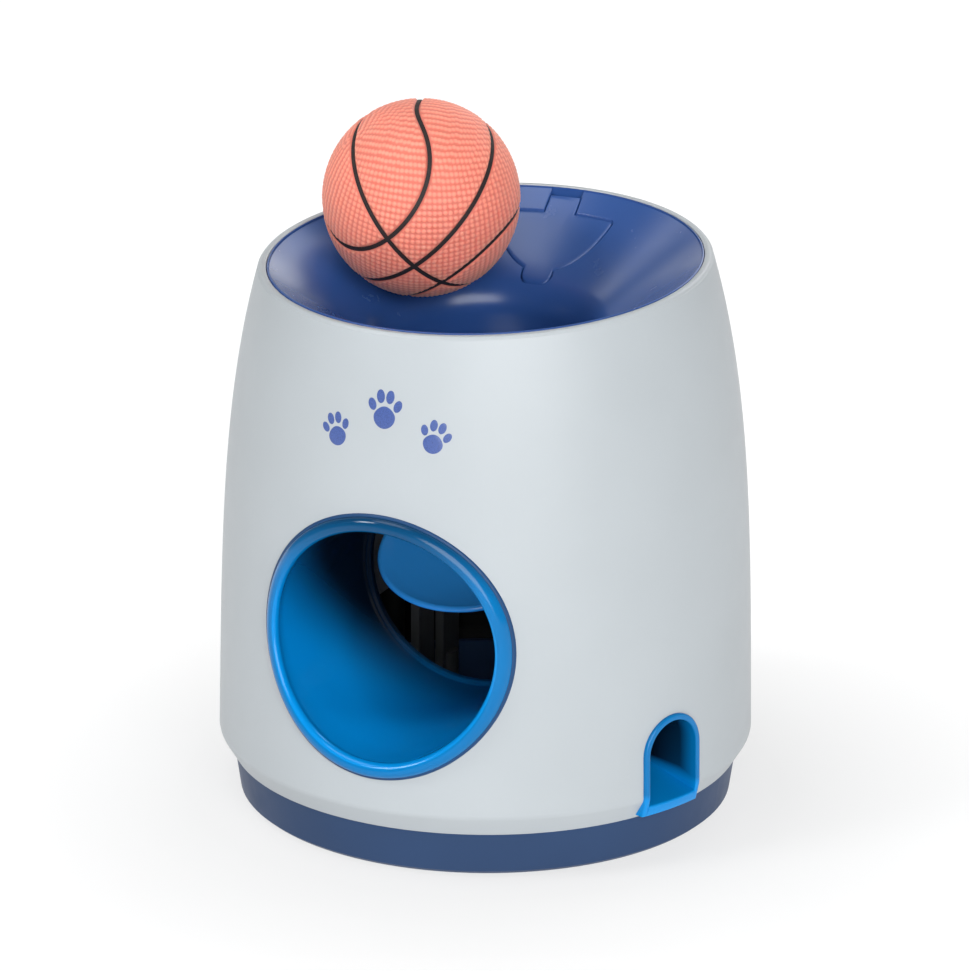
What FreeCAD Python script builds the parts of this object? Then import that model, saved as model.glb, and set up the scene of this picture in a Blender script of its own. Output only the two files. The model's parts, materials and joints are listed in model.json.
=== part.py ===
import FreeCAD, Part
import math
import os

# Ball drop toy for dogs. A ball put in the dish falls on a paddle and rolls out of the front tunnel.
# The paddle turns a drum that tips one portion of treats into a chute.
# The chute ends in a small arch beside the tunnel.
# Millimetres, Z up, origin on the ground at the middle of the base, the ball tunnel facing -Y.

# Casing: an upright tapering shell whose mouth is cut off at a slope, lower in front.
CASING_R = 85.0
CASING_H = 174.3
CASING_WALL = 2.4
CASING_TAPER = 4.1
CASING_CURVE = 13.3
CURVE_POWER = 3.7
SHOULDER_Z = 27.0
SHOULDER_ROUND = 14.0
BEVEL_IN = 4.7
MOUTH_SLOPE = 5.17
MOUTH_CHAMFER = 1.1
CASING_BANDS = 4
BAND_CROWDING = 4 / 11
LAST_BAND_GAP = 0.303

# Base: navy ring and floor that close the casing from below.
GROUND_GAP = 0.5
RING_TOP = 14.6
RING_TAPER = 2.0
RING_WALL = 2.5
FLOOR_T = 2.5
SPIGOT_H = 4.6
SPIGOT_WALL = 2.0
BASE_CHAMFER = 1.2
RIB_COUNT = 12
RIB_H = 6.0
RIB_T = 1.6
RIB_L = 9.0

# Rubber feet, let into the floor.
FOOT_COUNT = 4
FOOT_R = 7.0
FOOT_IN = 21.0
FOOT_DEPTH = 1.4
FOOT_CHAMFER = 0.4

# Dish: a cone let into the mouth, rounding over into the ball throat.
DISH_WALL = 2.6
DISH_SLOPE = 35.0
DISH_EDGE_DEPTH = 8.0
THROAT_R = 32.5
THROAT_ROUND = 14.0
THROAT_SKIRT = 9.0
DISH_OVERREACH = 8.0

# Treat lid, let into the rear slope of the dish.
LID_R = 21.0
LID_T = 1.8
LID_GAP = 0.35
LID_LEDGE = 1.6
LID_SEAT_GAP = 0.25
LID_RIB_H = 1.5
LID_RIB_T = 1.4
LID_BACK_STEP = 7.6
TAB_W = 10.6
TAB_L = 3.4
TAB_ROUND = 2.4
HINGE_IN = 3.4
KNUCKLE_R = 1.9
KNUCKLE_W = 11.0
KNUCKLE_SINK = 0.15
PIN_R = 0.8
PIN_L = 18.0
PIN_BOSS_WALL = 1.4
PIN_END_WALL = 1.2
RUN_GAP = 0.06

# Ball.
BALL_R = 31.0
BALL_OFFSET = 29.9
BALL_DIRECTION = 154.5
BALL_GAP = 0.2
SEAM_W = 1.1
SEAM_DEPTH = 0.5
SEAM_OFFSET = 15.5
MAIN_SEAM_NORMAL = (0.820, -0.033, 0.571)
CROSS_SEAM_NORMAL = (-0.477, -0.589, 0.652)

# Ball tunnel with a rounded lip that follows the casing.
TUNNEL_R = 37.0
TUNNEL_WALL = 2.5
TUNNEL_Z = 72.9
TUNNEL_END = -8.5
LIP_R = 42.1
LIP_OUT = 1.9
LIP_EDGE = 1.0
LIP_FLARE = 2.2
LIP_MARGIN = 5.0
FIT_GAP = 0.3
SEAT_GAP = 0.05

# Hood that keeps the ball over the paddle.
HOOD_WALL = 1.6
HOOD_GAP = 3.1
HOOD_FORWARD = 17.0
HOOD_CLEAR_Z = 106.0
HOOD_OVERLAP = 2.8

# Paddle and its shaft.
SHAFT_R = 2.0
SHAFT_INSET = 1.4
PADDLE_Y = 30.0
PADDLE_Z = 97.3
PADDLE_TILT = 23.1
PADDLE_TRAVEL = 30.0
PADDLE_ARM = 41.8
PADDLE_R = 31.0
PADDLE_T = 2.0
PADDLE_DISH = 4.0
PADDLE_STEPS = (0.0, 0.35, 0.7, 1.0)
PADDLE_RIM = 1.5
HUB_R = 4.6
ARM_W = 18.0
ARM_RIB_T = 2.0
ARM_RIB_H = 3.4
PRESS_GAP = 0.02
SIDE_GAP = 0.3

# Gear pair between paddle and drum.
MODULE = 1.25
SECTOR_TEETH = 36
PINION_TEETH = 12
PRESSURE = 20.0
ADDENDUM = 0.8
DEDENDUM = 1.15
BACKLASH = 0.3
GEAR_W = 4.0
GEAR_X = 27.2
DRUM_AHEAD = 24.0
SECTOR_CUT_TEETH = 6
SECTOR_SPREAD = 69.0
SECTOR_HOLE_R = 3.4
PINION_HUB_STEP = 0.9

# Metering drum.
DRUM_R = 13.0
DRUM_W = 23.0
POCKET_HALF_ANGLE = 40.0
POCKET_CORE_R = 4.6
POCKET_SIDE = 2.4
DRUM_RECESS = 1.2

# Counterweight that brings the paddle back.
WEIGHT_R = 8.0
WEIGHT_L = 11.0
WEIGHT_ARM = 26.0
WEIGHT_DROP = 5.0
WEIGHT_CUP = 1.6
WEIGHT_GAP = 0.05
TAIL_T = 4.0
TAIL_HALF = 3.7
STOP_W = 6.0
STOP_T = 2.5
STOP_GAP = 0.2

# Uprights that carry both shafts.
FRAME_T = 3.0
FRAME_X = 37.6
FRAME_BOSS_R = 5.2
FRAME_BOSS_IN = 2.3
FRAME_BOSS_OUT = 2.4
FRAME_BOSS_STEP = 1.4
FRAME_END_GAP = 0.4
FRAME_FRONT = -5.5
FRAME_BACK = 66.0
FRAME_LOW_EDGE = 57.0
FRAME_TOP = 106.5
FRONT_LEG_Y = 37.5
REAR_LEG_Y = 57.0
LEG_HALF = 6.0
LEG_JOIN_H = 9.0
PLATE_ROUND = 5.0
PLATE_CROWN = 14.0
PLATE_SLOPE_BACK = 24.0
PLATE_SLOPE_FRONT = 16.0

# Treat hopper.
HOPPER_WALL = 1.8
HOPPER_NECK_Z = 118.0
HOPPER_OUTLET_HALF = 8.0
DRUM_SIDE_GAP = 0.35
DRUM_TIP_GAP = 0.6
CHEEK_DROP = 6.0
SOCKET_WALL = 1.8
SOCKET_DEPTH = 5.0
SOCKET_GAP = 0.15

# Treat chute and its arch.
OUTLET_DIRECTION = 66.0
ARCH_HALF = 12.25
ARCH_WALL = 2.7
ARCH_TOP = 47.8
ARCH_OUT = 1.1
ARCH_DEPTH = 19.5
ARCH_FLOOR_IN = 23.0
ARCH_FLOOR_OUT = 17.0
ARCH_SEAT_GAP = 0.2
CHUTE_HALF = 8.0
CHUTE_WALL = 1.6
CHUTE_SIDE_H = 8.0
CHUTE_TOP_Z = 59.5
TRAY_HALF = 11.5
TRAY_BEHIND = 8.5

# Screws and the columns that they run in.
SCREW_R = 1.45
SCREW_HEAD_R = 2.9
SCREW_HEAD_H = 2.3
HEAD_TOP_R = 2.1
PILOT_R = 1.5
HOLE_R = 1.6
HEAD_GAP = 0.4
COLUMN_R = 4.0
CASING_SCREW_IN = 15.5
CASING_SCREW_DIRECTIONS = (40.0, 130.0, 230.0, 320.0)
CASING_SCREW_SEAT = 7.0
CASING_COLUMN_H = 30.0
CASING_SCREW_L = 26.0
DISH_SCREW_IN = 7.6
DISH_SCREW_DIRECTIONS = (55.0, 125.0, 235.0, 305.0)
DISH_LUG_DROP = 24.0
DISH_LUG_T = 3.0
DISH_SCREW_L = 12.0
TUNNEL_SCREW_Y = (-66.0, -20.0)
TUNNEL_POST_TOP = 24.0
TUNNEL_SCREW_SEAT = 14.0
TUNNEL_SCREW_L = 19.0
CRADLE_Y = (-56.0, -30.0)
CRADLE_HALF = 27.0
CRADLE_TOP = 46.0
CRADLE_T = 2.4
CRADLE_WINDOW_R = 9.0
CRADLE_WINDOW_UP = 15.0
BASE_COLUMN_WALL = 3.2
FRAME_SCREW_L = 10.0
PAD_H = 2.0

FLOOR_TOP = GROUND_GAP + FLOOR_T
ARCH_INNER_R = CASING_R - ARCH_DEPTH
HUB_END = FRAME_X - FRAME_BOSS_IN - FRAME_END_GAP
WEIGHT_X = HUB_END - WEIGHT_CUP - WEIGHT_L / 2
SLOPE = math.radians(MOUTH_SLOPE)
CONE = math.radians(DISH_SLOPE)

# How far a cutter reaches when only its near end matters, and how far joined pieces run into each other.
FAR = 400.0
MERGE = 0.5

os.makedirs("parts", exist_ok=True)


def vec(x, y, z):
    return FreeCAD.Vector(x, y, z)


def save(name, shape):
    solids = shape.Solids
    if not solids:
        raise ValueError("no solid in " + name)
    whole = solids[0] if len(solids) == 1 else Part.makeCompound(solids)
    whole.exportStep("parts/" + name + ".step")


def direction(degrees):
    """Unit vector in plan at an angle from the front, turning towards +X."""
    a = math.radians(degrees)
    return vec(math.sin(a), -math.cos(a), 0)


def cylinder_z(x, y, r, low, high):
    return Part.makeCylinder(r, high - low, vec(x, y, low), vec(0, 0, 1))


def cylinder_x(y, z, r, low, high):
    return Part.makeCylinder(r, high - low, vec(low, y, z), vec(1, 0, 0))


def cylinder_y(x, z, r, low, high):
    return Part.makeCylinder(r, high - low, vec(x, low, z), vec(0, 1, 0))


def block(x0, x1, y0, y1, z0, z1):
    return Part.makeBox(x1 - x0, y1 - y0, z1 - z0, vec(x0, y0, z0))


def turned(face):
    return face.revolve(vec(0, 0, 0), vec(0, 0, 1), 360)


def face_of(edges):
    return Part.Face(Part.Wire(Part.__sortEdges__(edges)))


def line(a, b):
    return Part.LineSegment(a, b).toShape()


def rounded_corner(a, b, c, r):
    """Arc that rounds the corner at b between runs from a and to c, with its start and its end."""
    back = (a - b).normalize()
    ahead = (c - b).normalize()
    half = back.getAngle(ahead) / 2
    start = b + back * (r / math.tan(half))
    end = b + ahead * (r / math.tan(half))
    centre = b + (back + ahead).normalize() * (r / math.sin(half))
    middle = centre + (b - centre).normalize() * r
    return Part.Arc(start, middle, end).toShape(), start, end


def polygon(points):
    return Part.Face(Part.makePolygon(points + [points[0]]))


def edges_where(shape, test):
    return [e for e in shape.Edges if test(e)]


def level_edge(e, z):
    """True for a round edge that lies flat at a height."""
    box = e.BoundBox
    return abs(box.ZMin - z) < 0.01 and abs(box.ZMax - z) < 0.01 and box.XLength > 1


# Casing outline

def casing_radius(z):
    """Outer radius of the casing at a height above the shoulder."""
    t = (z - SHOULDER_Z) / (CASING_H + CASING_R * math.tan(SLOPE) - SHOULDER_Z)
    return CASING_R - CASING_TAPER * t - CASING_CURVE * max(t, 0) ** CURVE_POWER


def casing_body(grow, low=RING_TOP):
    """Solid inside the casing outline, its radius grown by a margin; it reaches past the mouth.

    The wall is a stack of cones that touch the curve, shorter towards the mouth, where it bends most.
    The last cone holds the whole mouth, so no seam between cones crosses the mouth's edge.
    """
    mouth_rise = CASING_R * math.tan(SLOPE)
    last_low = CASING_H - mouth_rise + LAST_BAND_GAP
    top = CASING_H + mouth_rise + 4
    foot = vec(CASING_R - BEVEL_IN + grow, 0, low)
    heights = []
    for i in range(CASING_BANDS + 1):
        share = i / CASING_BANDS
        heights.append(SHOULDER_Z + (last_low - SHOULDER_Z) * share * (1 + BAND_CROWDING * (1 - share)))
    wall = [vec(casing_radius(z) + grow, 0, z) for z in heights + [top]]
    shoulder, start, end = rounded_corner(foot, wall[0], wall[1], SHOULDER_ROUND)
    points = [end] + wall[1:] + [vec(0, 0, top), vec(0, 0, low), foot, start]
    runs = [line(a, b) for a, b in zip(points, points[1:])]
    return turned(face_of(runs + [shoulder]))


MOUTH_FRONT = casing_radius(CASING_H - CASING_R * math.tan(SLOPE) * 0.82) - CASING_WALL
MOUTH_BACK = casing_radius(CASING_H + CASING_R * math.tan(SLOPE) * 0.78) - CASING_WALL
RIM_R = (MOUTH_FRONT + MOUTH_BACK) / 2
DISH_Y = (MOUTH_BACK - MOUTH_FRONT) / 2


def tilted(shape):
    """Moves a shape from the dish's own frame, rim at height 0, to its place in the sloping mouth."""
    shape.rotate(vec(0, 0, 0), vec(1, 0, 0), MOUTH_SLOPE)
    shape.translate(vec(0, DISH_Y, CASING_H))
    return shape


def dish_point(x, back, up):
    y = DISH_Y + back * math.cos(SLOPE) - up * math.sin(SLOPE)
    z = CASING_H + back * math.sin(SLOPE) + up * math.cos(SLOPE)
    return vec(x, y, z)


def below_mouth():
    return tilted(block(-FAR, FAR, -FAR, FAR, -FAR, 0))


# Dish surface: cone, round-over and throat, each offset by a depth below the upper surface

ROUND_U = THROAT_R + THROAT_ROUND
ROUND_W = (ROUND_U - RIM_R) * math.tan(CONE) - THROAT_ROUND / math.cos(CONE)
SKIRT_END = ROUND_W - THROAT_SKIRT


def dish_line(depth, outer):
    """Edges of the offset surface in the XZ plane, from beyond the rim to the skirt's end."""
    r = THROAT_ROUND - depth
    start = vec(outer, 0, (outer - RIM_R) * math.tan(CONE) - depth / math.cos(CONE))
    touch = vec(ROUND_U - r * math.sin(CONE), 0, ROUND_W + r * math.cos(CONE))
    middle = math.pi / 2 + (CONE + math.pi / 2) / 2
    mid = vec(ROUND_U + r * math.cos(middle), 0, ROUND_W + r * math.sin(middle))
    turn = vec(ROUND_U - r, 0, ROUND_W)
    end = vec(ROUND_U - r, 0, SKIRT_END)
    return [line(start, touch), Part.Arc(touch, mid, turn).toShape(), line(turn, end)], start, end


def dish_layer(top, bottom):
    """Shell between two depths below the dish's upper surface."""
    outer = RIM_R + DISH_OVERREACH
    upper, start, end = dish_line(top, outer)
    lower, start_low, end_low = dish_line(bottom, outer)
    face = face_of(upper + lower + [line(start, start_low), line(end, end_low)])
    return tilted(turned(face))


def above_dish(depth):
    """All that lies above the surface at a depth, and inside the throat."""
    outer = RIM_R + DISH_OVERREACH
    edges, start, end = dish_line(depth, outer)
    high = 60
    low = SKIRT_END - 60
    deep = vec(end.x, 0, low)
    edges += [
        line(end, deep),
        line(deep, vec(0, 0, low)),
        line(vec(0, 0, low), vec(0, 0, high)),
        line(vec(0, 0, high), vec(outer, 0, high)),
        line(vec(outer, 0, high), start),
    ]
    return tilted(turned(face_of(edges)))


# Treat lid

HINGE_U = RIM_R - HINGE_IN
HINGE_DEPTH = (KNUCKLE_R + KNUCKLE_SINK) / math.cos(CONE)
HINGE = dish_point(0, HINGE_U, (HINGE_U - RIM_R) * math.tan(CONE) - HINGE_DEPTH)
LID_FRONT = DISH_Y + THROAT_R + THROAT_ROUND * (1 - math.sin(CONE)) + TAB_L
LID_Y = LID_FRONT + LID_R
LID_BACK_R = RIM_R - LID_BACK_STEP
PRISM_LOW = CASING_H - 120
PRISM_HIGH = CASING_H + 40


def lid_plan(grow, low=PRISM_LOW, high=PRISM_HIGH):
    """Upright prism over the lid's rounded plan, without tab and tongue."""
    front = cylinder_z(0, LID_Y, LID_R + grow, low, high)
    back = cylinder_z(0, DISH_Y, LID_BACK_R + grow, low, high)
    return front.common(back)


def lid_outline(grow):
    """Upright prism over the whole lid: plan, finger tab and hinge tongue."""
    half = TAB_W / 2 + grow
    tab = block(-half, half, LID_FRONT - TAB_L - grow, LID_FRONT + 4, PRISM_LOW, PRISM_HIGH)
    tip = LID_FRONT - TAB_L - grow
    corners = edges_where(tab, lambda e: e.BoundBox.ZLength > 1 and e.BoundBox.YMax < tip + 0.1)
    tab = tab.makeFillet(TAB_ROUND, corners)
    tongue_half = KNUCKLE_W / 2 + grow
    tongue = block(-tongue_half, tongue_half, LID_Y - LID_R / 2, HINGE.y, PRISM_LOW, PRISM_HIGH)
    return lid_plan(grow).fuse([tab, tongue])


def hopper_lid():
    plate = dish_layer(0, LID_T).common(lid_outline(-LID_GAP))
    half = KNUCKLE_W / 2 - LID_GAP
    knuckle = cylinder_x(HINGE.y, HINGE.z, KNUCKLE_R, -half, half)
    rib_half = LID_R * 0.55
    rib_y = LID_FRONT + LID_R * 0.35
    rib = block(-rib_half, rib_half, rib_y, rib_y + LID_RIB_T, PRISM_LOW, PRISM_HIGH)
    rib = rib.common(dish_layer(LID_T / 2, LID_T + LID_RIB_H))
    lid = plate.fuse([knuckle, rib])
    return lid.cut(cylinder_x(HINGE.y, HINGE.z, PIN_R + RUN_GAP, -PIN_L, PIN_L)).removeSplitter()


def lid_hinge_pin():
    return cylinder_x(HINGE.y, HINGE.z, PIN_R, -PIN_L / 2, PIN_L / 2)


# Dish

def dish_screw_places():
    seat = vec(0, 0, CASING_H - DISH_LUG_DROP)
    return [direction(d) * (RIM_R - DISH_SCREW_IN) + seat for d in DISH_SCREW_DIRECTIONS]


def funnel_dish():
    inside = casing_body(-CASING_WALL - FIT_GAP)
    within = inside.cut(casing_body(-CASING_WALL - FIT_GAP - DISH_WALL))
    edge = within.common(tilted(block(-FAR, FAR, -FAR, FAR, -DISH_EDGE_DEPTH, 0)))
    dish = dish_layer(0, DISH_WALL).common(inside).common(below_mouth())
    edge = edge.cut(above_dish(0))
    seat = dish_layer(DISH_WALL, DISH_WALL + SOCKET_DEPTH)
    hopper_out = HOPPER_WALL - LID_LEDGE
    seat = seat.common(lid_plan(hopper_out + SOCKET_WALL)).cut(lid_plan(hopper_out + SOCKET_GAP))
    boss_half = PIN_L / 2 + PIN_END_WALL
    pin_boss = cylinder_x(HINGE.y, HINGE.z, KNUCKLE_R + PIN_BOSS_WALL, -boss_half, boss_half)
    pin_boss = pin_boss.common(inside).cut(above_dish(0))
    posts = []
    for p in dish_screw_places():
        post = cylinder_z(p.x, p.y, COLUMN_R, p.z + DISH_LUG_T, CASING_H + 20)
        posts.append(post.cut(above_dish(DISH_WALL / 2)))
    dish = dish.fuse([edge, seat, pin_boss] + posts)
    dish = dish.cut(dish_layer(-DISH_WALL, LID_T + LID_SEAT_GAP).common(lid_outline(0)))
    dish = dish.cut(lid_plan(-LID_LEDGE))
    slot_half = KNUCKLE_W / 2
    slot_r = KNUCKLE_R + LID_GAP
    slot = cylinder_x(HINGE.y, HINGE.z, slot_r, -slot_half, slot_half)
    notch_low = HINGE.z - KNUCKLE_R / 2
    notch = block(-slot_half, slot_half, LID_Y, RIM_R + CASING_WALL, notch_low, FAR)
    dish = dish.cut([slot, notch])
    dish = dish.cut(cylinder_x(HINGE.y, HINGE.z, PIN_R + RUN_GAP / 2, -PIN_L / 2 - 0.2, PIN_L / 2 + 0.2))
    for p in dish_screw_places():
        dish = dish.cut(cylinder_z(p.x, p.y, PILOT_R, p.z, p.z + DISH_LUG_T + DISH_SCREW_L - 1))
    return dish.removeSplitter()


# Casing shell

def arch_prism(half, top, start, end, low):
    """Arch-shaped prism along the outlet's direction, standing on a height."""
    spring = top - half
    wire = [
        line(vec(-half, start, low), vec(half, start, low)),
        line(vec(half, start, low), vec(half, start, spring)),
        Part.Arc(vec(half, start, spring), vec(0, start, top), vec(-half, start, spring)).toShape(),
        line(vec(-half, start, spring), vec(-half, start, low)),
    ]
    solid = face_of(wire).extrude(vec(0, end - start, 0))
    solid.rotate(vec(0, 0, 0), vec(0, 0, 1), OUTLET_DIRECTION - 180)
    return solid


def casing_screw_places():
    return [direction(d) * (CASING_R - CASING_SCREW_IN) for d in CASING_SCREW_DIRECTIONS]


def outer_shell():
    outer = casing_body(0)
    shell = outer.cut(casing_body(-CASING_WALL, RING_TOP - 0.01)).common(below_mouth())
    shell = shell.makeChamfer(MOUTH_CHAMFER, edges_where(shell, mouth_edge))
    extras = []
    column_low = RING_TOP + SPIGOT_H + 0.2
    for p in casing_screw_places():
        column = cylinder_z(p.x, p.y, COLUMN_R, column_low, column_low + CASING_COLUMN_H)
        extras.append(column)
        extras.append(web(p, column_low + 6, column_low + CASING_COLUMN_H))
    for p in dish_screw_places():
        lug = cylinder_z(p.x, p.y, COLUMN_R + 1, p.z, p.z + DISH_LUG_T)
        extras.append(lug)
        extras.append(web(p, p.z, p.z + DISH_LUG_T, COLUMN_R + 1))
    extras = [e.common(casing_body(-CASING_WALL / 2)) for e in extras]
    shell = shell.fuse(extras)
    shell = shell.cut(cylinder_y(0, TUNNEL_Z, TUNNEL_R + TUNNEL_WALL + FIT_GAP, -CASING_R - 5, 0))
    half = ARCH_HALF + FIT_GAP
    shell = shell.cut(arch_prism(half, ARCH_TOP + FIT_GAP, ARCH_INNER_R - 2, CASING_R + 5, 0))
    for p in casing_screw_places():
        shell = shell.cut(cylinder_z(p.x, p.y, PILOT_R, 0, CASING_SCREW_SEAT + CASING_SCREW_L + 1))
    for p in dish_screw_places():
        shell = shell.cut(cylinder_z(p.x, p.y, HOLE_R, p.z - 1, p.z + DISH_LUG_T + 1))
    return shell.removeSplitter()


def web(p, low, high, half=1.2):
    """Rib from a column out to the casing wall."""
    length = math.hypot(p.x, p.y)
    rib = block(0, CASING_R - length, -half, half, low, high)
    rib.rotate(vec(0, 0, 0), vec(0, 0, 1), math.degrees(math.atan2(p.y, p.x)))
    rib.translate(vec(p.x, p.y, 0))
    return rib


def mouth_edge(e):
    """True for the mouth's outer edge."""
    box = e.BoundBox
    tilt = abs(box.ZLength - 2 * RIM_R * math.tan(SLOPE)) < 2.5
    return tilt and box.ZMin > CASING_H * 0.8 and box.XLength > 2 * (RIM_R + CASING_WALL) - 2.2


# Base

def foot_places():
    return [direction(360.0 * i / FOOT_COUNT) * (CASING_R - FOOT_IN) for i in range(FOOT_COUNT)]


def frame_screw_places():
    x = FRAME_X + FRAME_T / 2
    ys = (FRONT_LEG_Y, REAR_LEG_Y)
    return [vec(side * x, y, FLOOR_TOP + PAD_H) for side in (-1, 1) for y in ys]


def tunnel_screw_places():
    return [vec(0, y, TUNNEL_SCREW_SEAT) for y in TUNNEL_SCREW_Y]


def ring_wire_face(shrink, low, high, top_r, bottom_r):
    points = [
        vec(0, 0, low),
        vec(bottom_r - shrink, 0, low),
        vec(top_r - shrink, 0, high),
        vec(0, 0, high),
    ]
    return polygon(points)


def base_plate():
    ring_r = CASING_R - BEVEL_IN
    body = turned(ring_wire_face(0, GROUND_GAP, RING_TOP, ring_r, ring_r - RING_TAPER))
    body = body.makeChamfer(BASE_CHAMFER, edges_where(body, lambda e: level_edge(e, GROUND_GAP)))
    ring_in = ring_r - RING_TAPER - RING_WALL
    body = body.cut(cylinder_z(0, 0, ring_in, FLOOR_TOP, RING_TOP + 1))
    spigot_r = CASING_R - BEVEL_IN - CASING_WALL - FIT_GAP
    spigot = cylinder_z(0, 0, spigot_r, RING_TOP - 4, RING_TOP + SPIGOT_H)
    spigot = spigot.cut(cylinder_z(0, 0, spigot_r - SPIGOT_WALL, 0, FAR))
    extras = [spigot]
    low = FLOOR_TOP - MERGE
    for i in range(RIB_COUNT):
        rib = block(ring_in - RIB_L, ring_in + MERGE, -RIB_T / 2, RIB_T / 2, low, FLOOR_TOP + RIB_H)
        rib.rotate(vec(0, 0, 0), vec(0, 0, 1), 360.0 * (i + 0.5) / RIB_COUNT)
        extras.append(rib)
    for p in casing_screw_places():
        column_r = HOLE_R + BASE_COLUMN_WALL
        extras.append(cylinder_z(p.x, p.y, column_r, low, RING_TOP + SPIGOT_H))
    for p in tunnel_screw_places():
        extras.append(cylinder_z(p.x, p.y, COLUMN_R, low, TUNNEL_POST_TOP))
    for p in frame_screw_places():
        extras.append(cylinder_z(p.x, p.y, COLUMN_R + 1, low, FLOOR_TOP + PAD_H))
    saddle = cylinder_y(0, TUNNEL_Z, TUNNEL_R + TUNNEL_WALL + SEAT_GAP, -FAR, FAR)
    window = cylinder_y(0, FLOOR_TOP + CRADLE_WINDOW_UP, CRADLE_WINDOW_R, -FAR, FAR)
    for y in CRADLE_Y:
        near = y - CRADLE_T / 2
        rib = block(-CRADLE_HALF, CRADLE_HALF, near, near + CRADLE_T, low, CRADLE_TOP)
        extras.append(rib.cut(saddle).cut(window))
    body = body.fuse(extras)
    arch = arch_prism(ARCH_HALF + FIT_GAP, ARCH_TOP, ARCH_INNER_R - 4, CASING_R + 5, RING_TOP)
    body = body.cut(arch)
    for p in casing_screw_places():
        body = body.cut(cylinder_z(p.x, p.y, SCREW_HEAD_R + HEAD_GAP, 0, CASING_SCREW_SEAT))
        body = body.cut(cylinder_z(p.x, p.y, HOLE_R, 0, FAR))
    for p in tunnel_screw_places():
        body = body.cut(cylinder_z(p.x, p.y, SCREW_HEAD_R + HEAD_GAP / 2, 0, TUNNEL_SCREW_SEAT))
        body = body.cut(cylinder_z(p.x, p.y, HOLE_R, 0, FAR))
    for p in frame_screw_places():
        body = body.cut(cylinder_z(p.x, p.y, SCREW_HEAD_R + HEAD_GAP, 0, GROUND_GAP + SCREW_HEAD_H))
        body = body.cut(cylinder_z(p.x, p.y, HOLE_R, 0, FAR))
    for p in foot_places():
        body = body.cut(cylinder_z(p.x, p.y, FOOT_R + SEAT_GAP, 0, GROUND_GAP + FOOT_DEPTH))
    return body.removeSplitter()


def rubber_foot(p):
    foot = cylinder_z(p.x, p.y, FOOT_R, 0, GROUND_GAP + FOOT_DEPTH)
    return foot.makeChamfer(FOOT_CHAMFER, edges_where(foot, lambda e: level_edge(e, 0)))


def screw(p, length):
    """Pan-head screw, head below its seat, shank upwards."""
    seat = vec(p.x, p.y, p.z)
    head = Part.makeCone(SCREW_HEAD_R, HEAD_TOP_R, SCREW_HEAD_H, seat, vec(0, 0, -1))
    return head.fuse(Part.makeCylinder(SCREW_R, length, seat, vec(0, 0, 1)))


def screws(places, length):
    return Part.makeCompound([screw(p, length) for p in places])


# Tunnel

def lip_body(out):
    """Solid under one smooth curve that stands out from the casing, over the heights of the lip."""
    reach = LIP_R + LIP_MARGIN
    heights = (TUNNEL_Z - reach, TUNNEL_Z, TUNNEL_Z + reach)
    low, middle, high = [vec(casing_radius(z) + out, 0, z) for z in heights]
    edges = [
        Part.Arc(low, middle, high).toShape(),
        line(high, vec(0, 0, high.z)),
        line(vec(0, 0, high.z), vec(0, 0, low.z)),
        line(vec(0, 0, low.z), low),
    ]
    return turned(face_of(edges))


def exit_tunnel():
    outer_r = TUNNEL_R + TUNNEL_WALL
    tube = cylinder_y(0, TUNNEL_Z, outer_r, -FAR, TUNNEL_END)
    flange = cylinder_y(0, TUNNEL_Z, LIP_R, -FAR, TUNNEL_END)
    tube = tube.common(lip_body(LIP_OUT))
    flange = flange.common(lip_body(LIP_OUT)).cut(casing_body(SEAT_GAP))
    front = block(-FAR, FAR, -FAR, -CASING_R / 2, 0, FAR)
    body = tube.fuse(flange.common(front))
    body = body.cut(cylinder_y(0, TUNNEL_Z, TUNNEL_R, -FAR, 0))
    for p in tunnel_screw_places():
        column = cylinder_z(p.x, p.y, COLUMN_R, TUNNEL_POST_TOP + 0.2, TUNNEL_Z - TUNNEL_R - 1)
        body = body.fuse(column)
    body = body.cut(hood_plan(0).common(block(-FAR, FAR, -FAR, FAR, TUNNEL_Z + TUNNEL_R / 2, FAR)))
    for p in tunnel_screw_places():
        body = body.cut(cylinder_z(p.x, p.y, PILOT_R, 0, TUNNEL_Z - TUNNEL_R - 1.2))
    body = body.removeSplitter()
    outer = edges_where(body, lambda e: lip_edge(e, LIP_R, LIP_OUT))
    body = body.makeChamfer(LIP_EDGE, outer)
    inner = edges_where(body, lambda e: lip_edge(e, TUNNEL_R, LIP_OUT))
    return body.makeChamfer(LIP_FLARE, inner)


def lip_edge(e, r, out):
    """True for an edge at a radius about the tunnel, on the surface that stands out from the casing."""
    p = e.valueAt((e.FirstParameter + e.LastParameter) / 2)
    on_ring = abs(math.hypot(p.x, p.z - TUNNEL_Z) - r) < 0.05
    return on_ring and abs(math.hypot(p.x, p.y) - casing_radius(p.z) - out) < 0.3


# Hood over the tunnel and the paddle

THROAT_END = dish_point(0, 0, SKIRT_END)
HOOD_R = THROAT_R + HOOD_GAP
HOOD_TOP = THROAT_END.z + HOOD_OVERLAP


def hood_plan(grow):
    """Upright prism over two circles joined, the rear one under the ball throat."""
    y = THROAT_END.y
    r = HOOD_R + grow
    low = TUNNEL_Z - 10
    rear = cylinder_z(0, y, r, low, HOOD_TOP)
    front = cylinder_z(0, y - HOOD_FORWARD, r, low, HOOD_TOP)
    between = block(-r, r, y - HOOD_FORWARD, y, low, HOOD_TOP)
    return rear.fuse([front, between]).removeSplitter()


def ball_hood():
    hood = hood_plan(HOOD_WALL).cut(hood_plan(0))
    hood = hood.cut(cylinder_y(0, TUNNEL_Z, TUNNEL_R + TUNNEL_WALL + SEAT_GAP, -FAR, FAR))
    hood = hood.cut(block(-FAR, FAR, -FAR, FAR, 0, TUNNEL_Z))
    return hood.cut(block(-FAR, FAR, TUNNEL_END, FAR, 0, HOOD_CLEAR_Z)).removeSplitter()


# Gears

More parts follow.
